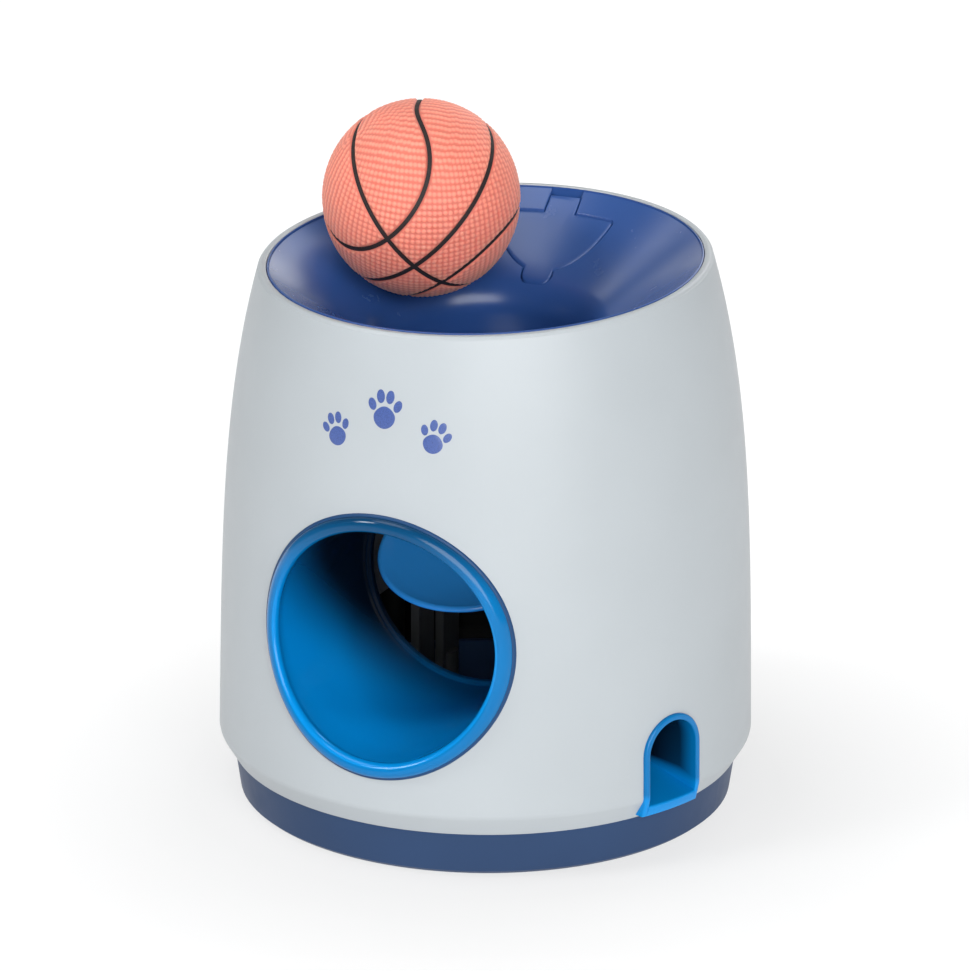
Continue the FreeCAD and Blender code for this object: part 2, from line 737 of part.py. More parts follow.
DRUM_Y = PADDLE_Y + DRUM_AHEAD
CENTRE_DISTANCE = MODULE * (SECTOR_TEETH + PINION_TEETH) / 2
DRUM_Z = PADDLE_Z - math.sqrt(CENTRE_DISTANCE ** 2 - DRUM_AHEAD ** 2)
MESH_ANGLE = math.atan2(DRUM_Z - PADDLE_Z, DRUM_Y - PADDLE_Y)


def involute_half_angle(teeth, r):
    """Half the angle that a tooth takes at a radius."""
    pitch_r = MODULE * teeth / 2
    pressure = math.radians(PRESSURE)
    base_r = pitch_r * math.cos(pressure)
    half = (math.pi * MODULE / 2 - BACKLASH / 2) / (2 * pitch_r)
    a = math.acos(min(1.0, base_r / r))
    grow = math.tan(pressure) - pressure - (math.tan(a) - a)
    return half + grow


def gear_points(teeth, start_angle, count):
    """Outline of some teeth in the YZ plane about the origin, and the root radius."""
    pitch_r = MODULE * teeth / 2
    tip_r = pitch_r + ADDENDUM * MODULE
    root_r = pitch_r - DEDENDUM * MODULE
    base_r = pitch_r * math.cos(math.radians(PRESSURE))
    low_r = max(root_r + 0.05, base_r)
    radii = [low_r + (tip_r - low_r) * i / 3 for i in range(4)]
    tooth = []
    for r in radii:
        tooth.append((r, -involute_half_angle(teeth, r)))
    for r in reversed(radii):
        tooth.append((r, involute_half_angle(teeth, r)))
    root_half = involute_half_angle(teeth, low_r)
    tooth = [(root_r, -root_half)] + tooth + [(root_r, root_half)]
    points = []
    for i in range(count):
        middle = start_angle + 2 * math.pi * i / teeth
        for r, a in tooth:
            points.append(vec(0, r * math.cos(middle + a), r * math.sin(middle + a)))
    return points, root_r


def drive_pinion():
    middle = MESH_ANGLE + math.pi + math.pi / PINION_TEETH
    points, root_r = gear_points(PINION_TEETH, middle, PINION_TEETH)
    gear = polygon(points).extrude(vec(GEAR_W, 0, 0))
    gear.translate(vec(GEAR_X, DRUM_Y, DRUM_Z))
    hub = cylinder_x(DRUM_Y, DRUM_Z, root_r - PINION_HUB_STEP, GEAR_X, HUB_END)
    gear = gear.fuse(hub)
    return gear.cut(cylinder_x(DRUM_Y, DRUM_Z, SHAFT_R + PRESS_GAP, 0, FAR)).removeSplitter()


def sector_gear():
    step = 2 * math.pi / SECTOR_TEETH
    before = round(math.radians(PADDLE_TRAVEL) / step) + 1
    first = MESH_ANGLE - before * step
    last = first + (SECTOR_CUT_TEETH - 1) * step
    points, root_r = gear_points(SECTOR_TEETH, first, SECTOR_CUT_TEETH)
    spread = math.radians(SECTOR_SPREAD)
    for a in (last + spread, first - spread):
        points.append(vec(0, HUB_R * math.cos(a), HUB_R * math.sin(a)))
    gear = polygon(points).extrude(vec(GEAR_W, 0, 0))
    middle = (first + last) / 2
    hole_at = (HUB_R + root_r) / 2
    hole = cylinder_x(hole_at * math.cos(middle), hole_at * math.sin(middle), SECTOR_HOLE_R, -FAR, FAR)
    gear = gear.cut(hole)
    gear.translate(vec(GEAR_X, PADDLE_Y, PADDLE_Z))
    gear = gear.fuse(cylinder_x(PADDLE_Y, PADDLE_Z, HUB_R, GEAR_X, HUB_END))
    return gear.cut(cylinder_x(PADDLE_Y, PADDLE_Z, SHAFT_R + PRESS_GAP, 0, FAR)).removeSplitter()


# Paddle

WEIGHT_ANGLE = math.radians(-WEIGHT_DROP)
WEIGHT_Y = PADDLE_Y + WEIGHT_ARM * math.cos(WEIGHT_ANGLE)
WEIGHT_Z = PADDLE_Z + WEIGHT_ARM * math.sin(WEIGHT_ANGLE)


def on_paddle(shape):
    """Moves a shape to its place at rest; the paddle's own frame has the level disc's centre at 0."""
    shape.translate(vec(0, -PADDLE_ARM, 0))
    shape.rotate(vec(0, 0, 0), vec(1, 0, 0), PADDLE_TILT)
    shape.translate(vec(0, PADDLE_Y, PADDLE_Z))
    return shape


def paddle_disc():
    """Shallow round dish with a beaded rim."""
    edge_r = PADDLE_R - PADDLE_RIM
    upper = [vec(edge_r * k, 0, -PADDLE_DISH * (1 - k ** 2)) for k in PADDLE_STEPS]
    lower = [p - vec(0, 0, PADDLE_T) for p in reversed(upper)]
    low = -PADDLE_T - PADDLE_RIM / 2
    rim = polygon([
        vec(edge_r, 0, low),
        vec(PADDLE_R - PADDLE_RIM / 4, 0, low),
        vec(PADDLE_R, 0, -PADDLE_T / 2),
        vec(PADDLE_R - PADDLE_RIM / 3, 0, PADDLE_RIM / 2),
        vec(edge_r, 0, PADDLE_RIM / 2),
    ])
    return turned(polygon(upper + lower)).fuse(turned(rim))


def paddle():
    disc = paddle_disc()
    root = PADDLE_R - PADDLE_DISH
    arm = block(-ARM_W / 2, ARM_W / 2, root, PADDLE_ARM, -PADDLE_T, 0)
    ribs = []
    for x in (-ARM_W / 2, ARM_W / 2 - ARM_RIB_T):
        ribs.append(block(x, x + ARM_RIB_T, root, PADDLE_ARM, -PADDLE_T - ARM_RIB_H, 0))
    stem = on_paddle(disc.fuse([arm] + ribs))
    hub = cylinder_x(PADDLE_Y, PADDLE_Z, HUB_R, -HUB_END, GEAR_X - SIDE_GAP)
    x0 = -WEIGHT_X - WEIGHT_L / 2 - WEIGHT_CUP
    x1 = -WEIGHT_X + WEIGHT_L / 2
    cup = cylinder_x(WEIGHT_Y, WEIGHT_Z, WEIGHT_R + WEIGHT_CUP, x0, x1)
    tail = block(x0, x0 + TAIL_T, 0, WEIGHT_ARM, -TAIL_HALF, TAIL_HALF)
    tail.rotate(vec(0, 0, 0), vec(1, 0, 0), -WEIGHT_DROP)
    tail.translate(vec(0, PADDLE_Y, PADDLE_Z))
    body = stem.fuse([hub, cup, tail])
    body = body.cut(cylinder_x(WEIGHT_Y, WEIGHT_Z, WEIGHT_R + WEIGHT_GAP, x0 + WEIGHT_CUP, x1 + 1))
    body = body.cut(cylinder_x(PADDLE_Y, PADDLE_Z, SHAFT_R + PRESS_GAP, -FAR, FAR))
    return body.removeSplitter()


def counterweight():
    x0 = -WEIGHT_X - WEIGHT_L / 2
    return cylinder_x(WEIGHT_Y, WEIGHT_Z, WEIGHT_R, x0, x0 + WEIGHT_L)


SHAFT_END = FRAME_X + FRAME_T + FRAME_BOSS_OUT - SHAFT_INSET


def shaft(y, z):
    return cylinder_x(y, z, SHAFT_R, -SHAFT_END, SHAFT_END)


# Metering drum

def metering_drum():
    half = DRUM_W / 2
    drum = cylinder_x(0, 0, DRUM_R, -half, half)
    a = math.radians(POCKET_HALF_ANGLE)
    reach = DRUM_R + 4
    wedge = polygon([
        vec(0, 0, 0),
        vec(0, -reach * math.tan(a), reach),
        vec(0, reach * math.tan(a), reach),
    ]).extrude(vec(DRUM_W - 2 * POCKET_SIDE, 0, 0))
    wedge.translate(vec(-half + POCKET_SIDE, 0, 0))
    drum = drum.cut(wedge.cut(cylinder_x(0, 0, POCKET_CORE_R, -half, half)))
    for side in (-1, 1):
        x0, x1 = sorted((side * half, side * (half - DRUM_RECESS)))
        recess = cylinder_x(0, 0, DRUM_R - POCKET_SIDE, x0, x1)
        drum = drum.cut(recess.cut(cylinder_x(0, 0, POCKET_CORE_R, x0, x1)))
    drum = drum.cut(cylinder_x(0, 0, SHAFT_R + PRESS_GAP, -FAR, FAR))
    drum.translate(vec(0, DRUM_Y, DRUM_Z))
    return drum.removeSplitter()


# Uprights

def across_plate(e):
    """True for an edge that runs through the thickness of an upright."""
    return e.BoundBox.XLength > FRAME_T / 2


def frame_plate():
    """Right-hand upright in place: plate with two legs, shaft bosses inside and out, and an edge rim."""
    low = FLOOR_TOP + PAD_H
    outline = [
        (FRONT_LEG_Y - LEG_HALF, low),
        (REAR_LEG_Y + LEG_HALF, low),
        (FRAME_BACK, FRAME_TOP - PLATE_SLOPE_BACK),
        (PADDLE_Y + PLATE_CROWN, FRAME_TOP),
        (PADDLE_Y - PLATE_CROWN, FRAME_TOP),
        (FRAME_FRONT, FRAME_TOP - PLATE_SLOPE_FRONT),
        (FRAME_FRONT, FRAME_LOW_EDGE),
        (FRONT_LEG_Y - LEG_HALF, FRAME_LOW_EDGE),
    ]
    plate = polygon([vec(FRAME_X, y, z) for y, z in outline]).extrude(vec(FRAME_T, 0, 0))
    corners = edges_where(plate, lambda e: across_plate(e) and e.BoundBox.ZMax > low + 1)
    plate = plate.makeFillet(PLATE_ROUND, corners)
    y0 = FRONT_LEG_Y + LEG_HALF
    y1 = REAR_LEG_Y - LEG_HALF
    window = block(FRAME_X, FRAME_X + FRAME_T, y0, y1, low + LEG_JOIN_H, FRAME_LOW_EDGE)
    corners = edges_where(window, across_plate)
    plate = plate.cut(window.makeFillet((y1 - y0) / 2 - 0.2, corners))
    extras = []
    for y, z in ((PADDLE_Y, PADDLE_Z), (DRUM_Y, DRUM_Z)):
        extras.append(cylinder_x(y, z, FRAME_BOSS_R, FRAME_X, FRAME_X + FRAME_T + FRAME_BOSS_OUT))
        inner_r = FRAME_BOSS_R - FRAME_BOSS_STEP
        extras.append(cylinder_x(y, z, inner_r, FRAME_X - FRAME_BOSS_IN, FRAME_X + MERGE))
    for y in (FRONT_LEG_Y, REAR_LEG_Y):
        column_top = low + FRAME_SCREW_L + COLUMN_R
        extras.append(cylinder_z(FRAME_X + FRAME_T / 2, y, COLUMN_R, low, column_top))
    plate = plate.fuse(extras)
    for y, z in ((PADDLE_Y, PADDLE_Z), (DRUM_Y, DRUM_Z)):
        plate = plate.cut(cylinder_x(y, z, SHAFT_R + RUN_GAP, 0, SHAFT_END + 0.3))
    for y in (FRONT_LEG_Y, REAR_LEG_Y):
        plate = plate.cut(cylinder_z(FRAME_X + FRAME_T / 2, y, PILOT_R, 0, low + FRAME_SCREW_L + 1))
    return plate.removeSplitter()


def frame_left():
    plate = frame_plate().mirror(vec(0, 0, 0), vec(1, 0, 0))
    top = WEIGHT_Z - WEIGHT_R - WEIGHT_CUP - STOP_GAP
    y0 = WEIGHT_Y - STOP_W / 2
    stop = block(-FRAME_X, -WEIGHT_X, y0, y0 + STOP_W, top - STOP_T, top)
    return plate.fuse(stop).removeSplitter()


# Treat hopper

def hopper_ring(grow, z):
    """Four-edged ring: front and side arcs of the lid's plan, and its back arc."""
    r = LID_R - LID_LEDGE + grow
    back_r = LID_BACK_R - LID_LEDGE + grow
    gap = LID_Y - DISH_Y
    corner_y = DISH_Y + (gap ** 2 + back_r ** 2 - r ** 2) / (2 * gap)
    corner_x = math.sqrt(back_r ** 2 - (corner_y - DISH_Y) ** 2)
    start = math.atan2(corner_y - LID_Y, corner_x)
    split = math.radians(-50)

    def at(a):
        return vec(r * math.cos(a), LID_Y + r * math.sin(a), z)

    right = at(start)
    left = vec(-right.x, right.y, z)
    low_right = at(split)
    low_left = vec(-low_right.x, low_right.y, z)
    side_mid = at((start + split) / 2)
    return Part.Wire([
        Part.Arc(left, vec(-side_mid.x, side_mid.y, z), low_left).toShape(),
        Part.Arc(low_left, at(-math.pi / 2), low_right).toShape(),
        Part.Arc(low_right, side_mid, right).toShape(),
        Part.Arc(right, vec(0, DISH_Y + back_r, z), left).toShape(),
    ])


def outlet_ring(grow, z):
    half_x = DRUM_W / 2 + DRUM_SIDE_GAP + grow
    y0 = DRUM_Y - HOPPER_OUTLET_HALF - grow
    y1 = DRUM_Y + HOPPER_OUTLET_HALF + grow
    corners = [vec(-half_x, y1, z), vec(-half_x, y0, z), vec(half_x, y0, z), vec(half_x, y1, z)]
    return Part.makePolygon(corners + corners[:1])


def hopper_solid(grow, low, high):
    """Upper store, ruled funnel and outlet block, grown by a wall."""
    neck = DRUM_Z + DRUM_R + 1.5
    store = lid_plan(grow - LID_LEDGE, HOPPER_NECK_Z, high)
    funnel = Part.makeLoft([outlet_ring(grow, neck), hopper_ring(grow, HOPPER_NECK_Z)], True, True)
    outlet = Part.Face(outlet_ring(grow, low)).extrude(vec(0, 0, neck - low))
    return store.fuse([funnel, outlet])


def treat_hopper():
    low = DRUM_Z - CHEEK_DROP
    high = CASING_H + 20
    body = hopper_solid(HOPPER_WALL, low, high).cut(hopper_solid(0, low - 1, high + 1))
    half = DRUM_W / 2 + DRUM_SIDE_GAP
    body = body.cut(cylinder_x(DRUM_Y, DRUM_Z, DRUM_R + DRUM_TIP_GAP, -half, half))
    body = body.cut(block(-half, half, DRUM_Y - 20, DRUM_Y + 20, low - 1, DRUM_Z))
    body = body.cut(cylinder_x(DRUM_Y, DRUM_Z, SHAFT_R + SIDE_GAP, -FAR, FAR))
    return body.cut(above_dish(DISH_WALL + SEAT_GAP)).removeSplitter()


# Treat chute

OUTLET_DIR = direction(OUTLET_DIRECTION)
CHUTE_END = OUTLET_DIR * ARCH_INNER_R
CHUTE_START = vec(-2.0, DRUM_Y + DRUM_R + 5.0, 0)
CHUTE_ALONG = (CHUTE_END - CHUTE_START).normalize()
CHUTE_LENGTH = (CHUTE_END - CHUTE_START).Length
CHUTE_FALL = math.atan2(CHUTE_TOP_Z - ARCH_FLOOR_IN - 0.3, CHUTE_LENGTH)


def along_chute(shape):
    """Moves a shape drawn along +X from the chute's start to its place in plan."""
    angle = math.degrees(math.atan2(CHUTE_ALONG.y, CHUTE_ALONG.x))
    shape.rotate(vec(0, 0, 0), vec(0, 0, 1), angle)
    shape.translate(vec(CHUTE_START.x, CHUTE_START.y, 0))
    return shape


def chute_slab(low, high):
    """Sloping slab about the chute's floor plane."""
    slab = block(-FAR, FAR, -FAR, FAR, low, high)
    slab.rotate(vec(0, 0, 0), vec(0, 1, 0), math.degrees(CHUTE_FALL))
    slab.translate(vec(0, 0, CHUTE_TOP_Z))
    return along_chute(slab)


def chute_plan(grow, end_past):
    run = along_chute(block(-4, CHUTE_LENGTH + 20, -CHUTE_HALF - grow, CHUTE_HALF + grow, 0, FAR / 2))
    y0 = CHUTE_START.y - TRAY_BEHIND - grow
    tray = block(-TRAY_HALF - grow, TRAY_HALF + grow, y0, CASING_R, 0, FAR / 2)
    tray = tray.common(cylinder_z(0, 0, CASING_R - CASING_WALL - 4.5 + grow, 0, FAR / 2))
    upright = [e for e in tray.Edges if e.BoundBox.ZLength > 10]
    tray = tray.makeFillet(2.5 + grow, upright)
    plan = run.fuse(tray)
    stop = block(-FAR, FAR, -FAR, -ARCH_INNER_R + 0.3 - end_past, -FAR, FAR)
    stop.rotate(vec(0, 0, 0), vec(0, 0, 1), OUTLET_DIRECTION)
    return plan.cut(stop)


def treat_chute():
    outer = chute_plan(CHUTE_WALL, 0).common(chute_slab(-CHUTE_WALL, CHUTE_SIDE_H))
    inner = chute_plan(0, 5).common(chute_slab(0, CHUTE_SIDE_H + 5))
    return outer.cut(inner).removeSplitter()


def outlet_frame():
    """Arch that stands straight down past the casing's bevel, with a sloping floor."""
    low = RING_TOP + ARCH_SEAT_GAP
    outer = arch_prism(ARCH_HALF, ARCH_TOP, ARCH_INNER_R, CASING_R + 5, low)
    low_r = casing_radius(low) + ARCH_OUT
    top_r = casing_radius(ARCH_TOP) + ARCH_OUT
    outer = outer.common(Part.makeCone(low_r, top_r, ARCH_TOP - low, vec(0, 0, low)))
    half = ARCH_HALF - ARCH_WALL
    inner = arch_prism(half, ARCH_TOP - ARCH_WALL, ARCH_INNER_R - 5, CASING_R + 8, low)
    run = CASING_R - ARCH_INNER_R
    slope = (ARCH_FLOOR_IN - ARCH_FLOOR_OUT) / run
    floor = polygon([
        vec(-half - 1, ARCH_INNER_R - 6, 0),
        vec(-half - 1, CASING_R + 9, 0),
        vec(-half - 1, CASING_R + 9, ARCH_FLOOR_OUT - 9 * slope),
        vec(-half - 1, ARCH_INNER_R - 6, ARCH_FLOOR_IN + 6 * slope),
    ]).extrude(vec(2 * half + 2, 0, 0))
    floor.rotate(vec(0, 0, 0), vec(0, 0, 1), OUTLET_DIRECTION - 180)
    return outer.cut(inner.cut(floor)).removeSplitter()


# Ball

def ball_centre():
    a = math.radians(BALL_DIRECTION)
    up = (BALL_R + BALL_GAP) / math.cos(CONE) - (RIM_R - BALL_OFFSET) * math.tan(CONE)
    return dish_point(BALL_OFFSET * math.cos(a), BALL_OFFSET * math.sin(a), up)


def seam(normal, offset):
    """Flat ring whose cut leaves a groove round the ball, in a plane at an offset from its centre."""
    r = math.sqrt(BALL_R ** 2 - offset ** 2) - SEAM_DEPTH
    start = normal * (offset - SEAM_W / 2)
    core = Part.makeCylinder(r, SEAM_W, start, normal)
    return Part.makeCylinder(BALL_R + 1, SEAM_W, start, normal).cut(core)


def ball():
    cross = vec(*CROSS_SEAM_NORMAL).normalize()
    body = Part.makeSphere(BALL_R)
    body = body.cut(seam(vec(*MAIN_SEAM_NORMAL).normalize(), 0))
    for offset in (-SEAM_OFFSET, 0, SEAM_OFFSET):
        body = body.cut(seam(cross, offset))
    body.translate(ball_centre())
    return body


def build():
    save("outer_shell", outer_shell())
    save("base_plate", base_plate())
    save("funnel_dish", funnel_dish())
    save("hopper_lid", hopper_lid())
    save("lid_hinge_pin", lid_hinge_pin())
    save("treat_hopper", treat_hopper())
    save("exit_tunnel", exit_tunnel())
    save("ball_hood", ball_hood())
    save("treat_chute", treat_chute())
    save("outlet_frame", outlet_frame())
    save("frame_right", frame_plate())
    save("frame_left", frame_left())
    save("paddle", paddle())
    save("counterweight", counterweight())
    save("sector_gear", sector_gear())
    save("paddle_shaft", shaft(PADDLE_Y, PADDLE_Z))
    save("metering_drum", metering_drum())
    save("drive_pinion", drive_pinion())
    save("drum_shaft", shaft(DRUM_Y, DRUM_Z))
    for i, p in enumerate(foot_places()):
        save("rubber_foot_" + str(i + 1), rubber_foot(p))
    casing_seats = [p + vec(0, 0, CASING_SCREW_SEAT) for p in casing_screw_places()]
    save("base_screws", screws(casing_seats, CASING_SCREW_L))
    save("funnel_screws", screws(dish_screw_places(), DISH_SCREW_L))
    save("tunnel_screws", screws(tunnel_screw_places(), TUNNEL_SCREW_L))
    frame_seats = [vec(p.x, p.y, GROUND_GAP + SCREW_HEAD_H) for p in frame_screw_places()]
    save("frame_screws", screws(frame_seats, FRAME_SCREW_L))
    save("ball", ball())


build()
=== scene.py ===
import json
import math

import bmesh
import bpy
import numpy as np
from mathutils import Matrix, Vector


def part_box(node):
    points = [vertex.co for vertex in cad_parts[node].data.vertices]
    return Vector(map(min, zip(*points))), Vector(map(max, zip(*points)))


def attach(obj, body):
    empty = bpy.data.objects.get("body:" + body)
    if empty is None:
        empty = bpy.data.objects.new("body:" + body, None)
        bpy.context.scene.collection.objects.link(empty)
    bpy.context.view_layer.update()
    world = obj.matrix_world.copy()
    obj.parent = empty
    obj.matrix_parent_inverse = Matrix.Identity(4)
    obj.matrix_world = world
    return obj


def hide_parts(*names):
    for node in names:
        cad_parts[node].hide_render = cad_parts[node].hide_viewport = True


# Ball drop toy for dogs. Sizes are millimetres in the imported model's frame, and MM turns them into metres.
MM = 0.001
FULL_TURN = 2 * math.pi

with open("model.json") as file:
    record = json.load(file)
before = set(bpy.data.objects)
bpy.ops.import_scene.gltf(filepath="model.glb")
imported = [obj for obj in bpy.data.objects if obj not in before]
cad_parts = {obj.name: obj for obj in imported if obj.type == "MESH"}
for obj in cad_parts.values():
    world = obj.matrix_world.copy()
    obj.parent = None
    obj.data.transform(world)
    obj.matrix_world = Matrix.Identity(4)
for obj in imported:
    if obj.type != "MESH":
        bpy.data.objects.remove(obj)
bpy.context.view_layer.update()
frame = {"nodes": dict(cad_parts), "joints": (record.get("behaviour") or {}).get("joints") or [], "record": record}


def box_mm(node):
    """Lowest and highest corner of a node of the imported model, in millimetres."""
    low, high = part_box(node)
    return low / MM, high / MM


def joint_place(name):
    """A joint's axis point, in millimetres."""
    joint = next(j for j in frame["joints"] if j["name"] == name)
    return Vector(joint["pos_m"]) / MM


# Casing: outline as a curve over the height, cut off by a sloping mouth.
SHELL_LOW, SHELL_HIGH = box_mm("outer_shell")
CASING_R = (SHELL_HIGH.x - SHELL_LOW.x) / 2
RING_TOP = SHELL_LOW.z
CASING_H = 174.3
CASING_WALL = 2.4
CASING_TAPER = 4.1
CASING_CURVE = 13.3
CURVE_POWER = 3.7
SHOULDER_Z = 21.4
SHOULDER_ROUND = 4.0
BEVEL_IN = 3.9
SLOPE = math.radians(5.17)
RIM_ROUND = 1.0
RIM_INNER_ROUND = 0.35
FOOT_ROUND = 0.4
CASING_COLUMNS = 288
CASING_ROWS = 44
CASING_INNER_ROWS = 24

# Navy ring under the casing.
BASE_RING_R = 79.3
BASE_RING_LOW = 4.0
BASE_RING_ROUND = 0.5
BASE_RING_GAP = 0.1

# Dish in the mouth: a cone that rounds over into the ball throat.
CONE = math.radians(35.0)
RIM_R = 67.637
DISH_Y = -1.863
DISH_WALL = 2.6
DISH_GAP = 0.3
DISH_EDGE_GAP = 0.12
DISH_EDGE_DEPTH = 8.0
DISH_EDGE_ROUND = 0.5
DISH_COLUMNS = 240
THROAT_R = 32.5
THROAT_ROUND = 14.0
THROAT_SKIRT = 9.0
SKIRT_EDGE = 0.3
ROUND_U = THROAT_R + THROAT_ROUND
ROUND_W = (ROUND_U - RIM_R) * math.tan(CONE) - THROAT_ROUND / math.cos(CONE)

# Treat lid in the rear slope of the dish.
LID_R = 21.0
LID_T = 1.8
LID_GAP = 0.35
LID_LEDGE = 1.6
LID_SEAT = 0.25
LID_EDGE_ROUND = 0.3
TAB_HALF = 5.3
TAB_L = 3.4
TAB_ROUND = 2.4
TONGUE_HALF = 5.5
KNUCKLE_R = 1.9
KNUCKLE_EDGE = 0.25
PIN_HOLE_R = 0.86
HINGE = joint_place("lid_hinge")
NOTCH_END = HINGE.y + 2.4
TONGUE_END = HINGE.y + 0.25
CORNER_ROUND = 1.3
CORNER_LEAST = 0.4
RECESS_FLARE = 0.25
LID_FRONT = DISH_Y + THROAT_R + THROAT_ROUND * (1 - math.sin(CONE)) + TAB_L
LID_Y = LID_FRONT + LID_R
LID_BACK_R = RIM_R - 7.6
LID_RIB_T = 1.4
LID_RIB_H = 1.5

# Ball tunnel.
TUNNEL_Z = 72.9
TUNNEL_R = 37.0
TUNNEL_WALL = 2.5
LIP_MIDDLE = 38.3
LIP_ROLL = 2.3
LIP_LIFT = 0.25
LIP_SEAT = 0.12
LIP_BACK = 3.2
# Thin dark navy ring about the lip: painted shade along the lip's outer edge.
SHADE_RING_R = 40.8
SHADE_RING_ROLL = 0.65
SHADE_RING_DEPTH = 0.3
# Painted shade in the bore: it starts BORE_BRIGHT in from the casing and is full at BORE_DARK, reached sooner
# higher up by BORE_TILT; EDGE_SHADE is the lighter painted shade on the lip and on the arch's frame.
BORE_BRIGHT = 9.0
BORE_DARK = 56.0
BORE_TILT = 1.05
EDGE_SHADE = 0.34
TUNNEL_END = -8.5
LEDGE_IN = 1.6
LEDGE_T = 2.0
LEDGE_EDGE = 0.3
TUNNEL_COLUMNS = 192
TUNNEL_ROWS = 24

# Opening of the tunnel's top for the ball hood.
HOOD_R = 35.6
HOOD_FORWARD = 17.0
HOOD_LOW, HOOD_HIGH = box_mm("ball_hood")
HOOD_MIDDLE = HOOD_LOW.y + HOOD_FORWARD + (HOOD_HIGH.x - HOOD_LOW.x) / 2

# Treat outlet.
OUTLET_ANGLE = math.radians(66.0)
ARCH_HALF = 11.7
ARCH_WALL = 2.0
ARCH_TOP = 46.9
ARCH_LOW = 15.9
ARCH_OUT = 1.1
ARCH_INNER_R = 65.5
ARCH_FLOOR_IN = 23.0
ARCH_FLOOR_OUT = 19.4
ARCH_EDGE_ROUND = 0.6
ARCH_OVERLAP = 0.4
# Painted shade inside the arch: it starts ARCH_BRIGHT in from the casing's outside and is full at ARCH_DARK.
ARCH_BRIGHT = 0.6
ARCH_DARK = 7.0
ARCH_STEPS = 32

# Posts inside, and the screws in them. Directions are degrees from the front towards +X.
POST_R = 4.0
POST_EDGE = 0.3
POST_STEPS = 40
PILOT_R = 1.25
HOLE_PAST = 1.0
HOLE_FLOOR = 4.0
WEB_HALF = 1.2
WEB_RISE = 6.0
COLUMN_RING = 69.5
COLUMN_DIRECTIONS = (40, 130, 230, 320)
COLUMN_LOW = 19.4
COLUMN_HIGH = 49.4
LUG_R = 5.0
LUG_RING = 60.04
LUG_DIRECTIONS = (55, 125, 235, 305)
LUG_LOW = 150.3
LUG_HIGH = 153.3
DISH_HOLE = 9.0
TUNNEL_POSTS = (-66.0, -20.0)
TUNNEL_POST_LOW = 24.2
HEAD_R = 2.9
HEAD_TOP_R = 2.1
HEAD_H = 2.3
RECESS_REACH = 1.25
RECESS_HALF = 0.3
RECESS_DEPTH = 1.3
THREAD_R = 1.45
THREAD_DEPTH = 0.3
THREAD_PITCH = 1.1
THREAD_POINT = 2.5
THREAD_STEPS = 20
BASE_SEAT = 7.0
BASE_SCREW_L = 26.0
DISH_SCREW_L = 12.0
TUNNEL_SEAT = 14.0
TUNNEL_SCREW_L = 19.0
FRAME_SEAT = 2.8
FRAME_SCREW_L = 10.0
FRAME_SCREW_X = 39.1
FRAME_SCREW_Y = (37.5, 57.0)

# Paddle, at rest, with the cup that holds its counterweight.
PADDLE_AXIS = joint_place("paddle_tilt")
PADDLE_TILT = math.radians(22.0)
PADDLE_ARM = 41.8
PADDLE_R = 31.0
PADDLE_T = 2.0
PADDLE_DISH = 4.0
PADDLE_BEAD = 2.2
PADDLE_STEPS = 16
BEAD_HALF = 1.0
HUB_R = 4.6
HUB_EDGE = 0.4
ARM_HALF = 9.0
ARM_EDGE = 0.35
ARM_RIB_T = 2.0
ARM_RIB_H = 3.4
ARM_RIB_RUN = 6.0
RIB_EDGE = 0.3
SHAFT_HOLE_R = 2.02
WEIGHT_LOW, WEIGHT_HIGH = box_mm("counterweight")
WEIGHT_MIDDLE = (WEIGHT_LOW + WEIGHT_HIGH) / 2
WEIGHT_R = (WEIGHT_HIGH.z - WEIGHT_LOW.z) / 2
WEIGHT_CUP = 1.6
WEIGHT_PLAY = 0.05
TAIL_L = 22.0
TAIL_HALF = 3.7
TAIL_T = 4.0
GEAR_GAP = 0.3
PADDLE_SPAN = (WEIGHT_LOW.x - WEIGHT_CUP, box_mm("sector_gear")[0].x - GEAR_GAP)

# Ball. The seams are two great circles, given by their normals, and two ovals that lean away from one of them
# by a mean angle and a few waves in degrees: the waves' count in a turn, then their cosine and sine parts.
BALL_LOW, BALL_HIGH = box_mm("ball")
BALL_CENTRE = (BALL_LOW + BALL_HIGH) / 2
BALL_R = (BALL_HIGH.x - BALL_LOW.x) / 2
SEAM_W = 1.35
SEAM_DEPTH = 0.55
SEAM_SINK = 0.28
SEAM_CROWN = 0.03
SEAM_T = 0.5
SEAM_STEPS = 360
SEAM_MAIN = Vector((0.829, -0.045, 0.558)).normalized()
SEAM_CROSS = Vector((-0.4955, -0.5741, 0.6519))
OVAL_LEAN = 32.6
OVAL_WAVES = ((1, -1.2, 3.0), (2, -11.2, -2.1), (3, 3.3, 1.1))
PEBBLE_PITCH = 2.5
PEBBLE_H = 0.28
PEBBLE_SHARE = 0.36
BALL_GRID = 140

# Print on the casing's front: three paw marks. A pad is its place and its two half widths in shares of the
# mark's size, and its lean, heel pad first. A mark is its place round the casing, its rise, size and lean.
PRINT_Z = 142.5
PRINT_OUT = 0.06
PRINT_ROOT = 0.1
PAD_STEPS = 48
PAD_CENTRE = 0.02
HEEL_NARROWS = 0.22
HEEL_ARCH = 0.24
PAW_PADS = [
    (0.0, -0.28, 0.46, 0.36, 0.0),
    (-0.56, 0.12, 0.17, 0.25, 0.42),
    (-0.21, 0.46, 0.18, 0.27, 0.12),
    (0.21, 0.46, 0.18, 0.27, -0.12),
    (0.56, 0.12, 0.17, 0.25, -0.42),
]
PAWS = [(-15.5, -4.5, 6.4, 0.30), (0.5, 3.6, 7.4, 0.0), (16.5, -3.2, 6.4, -0.28)]
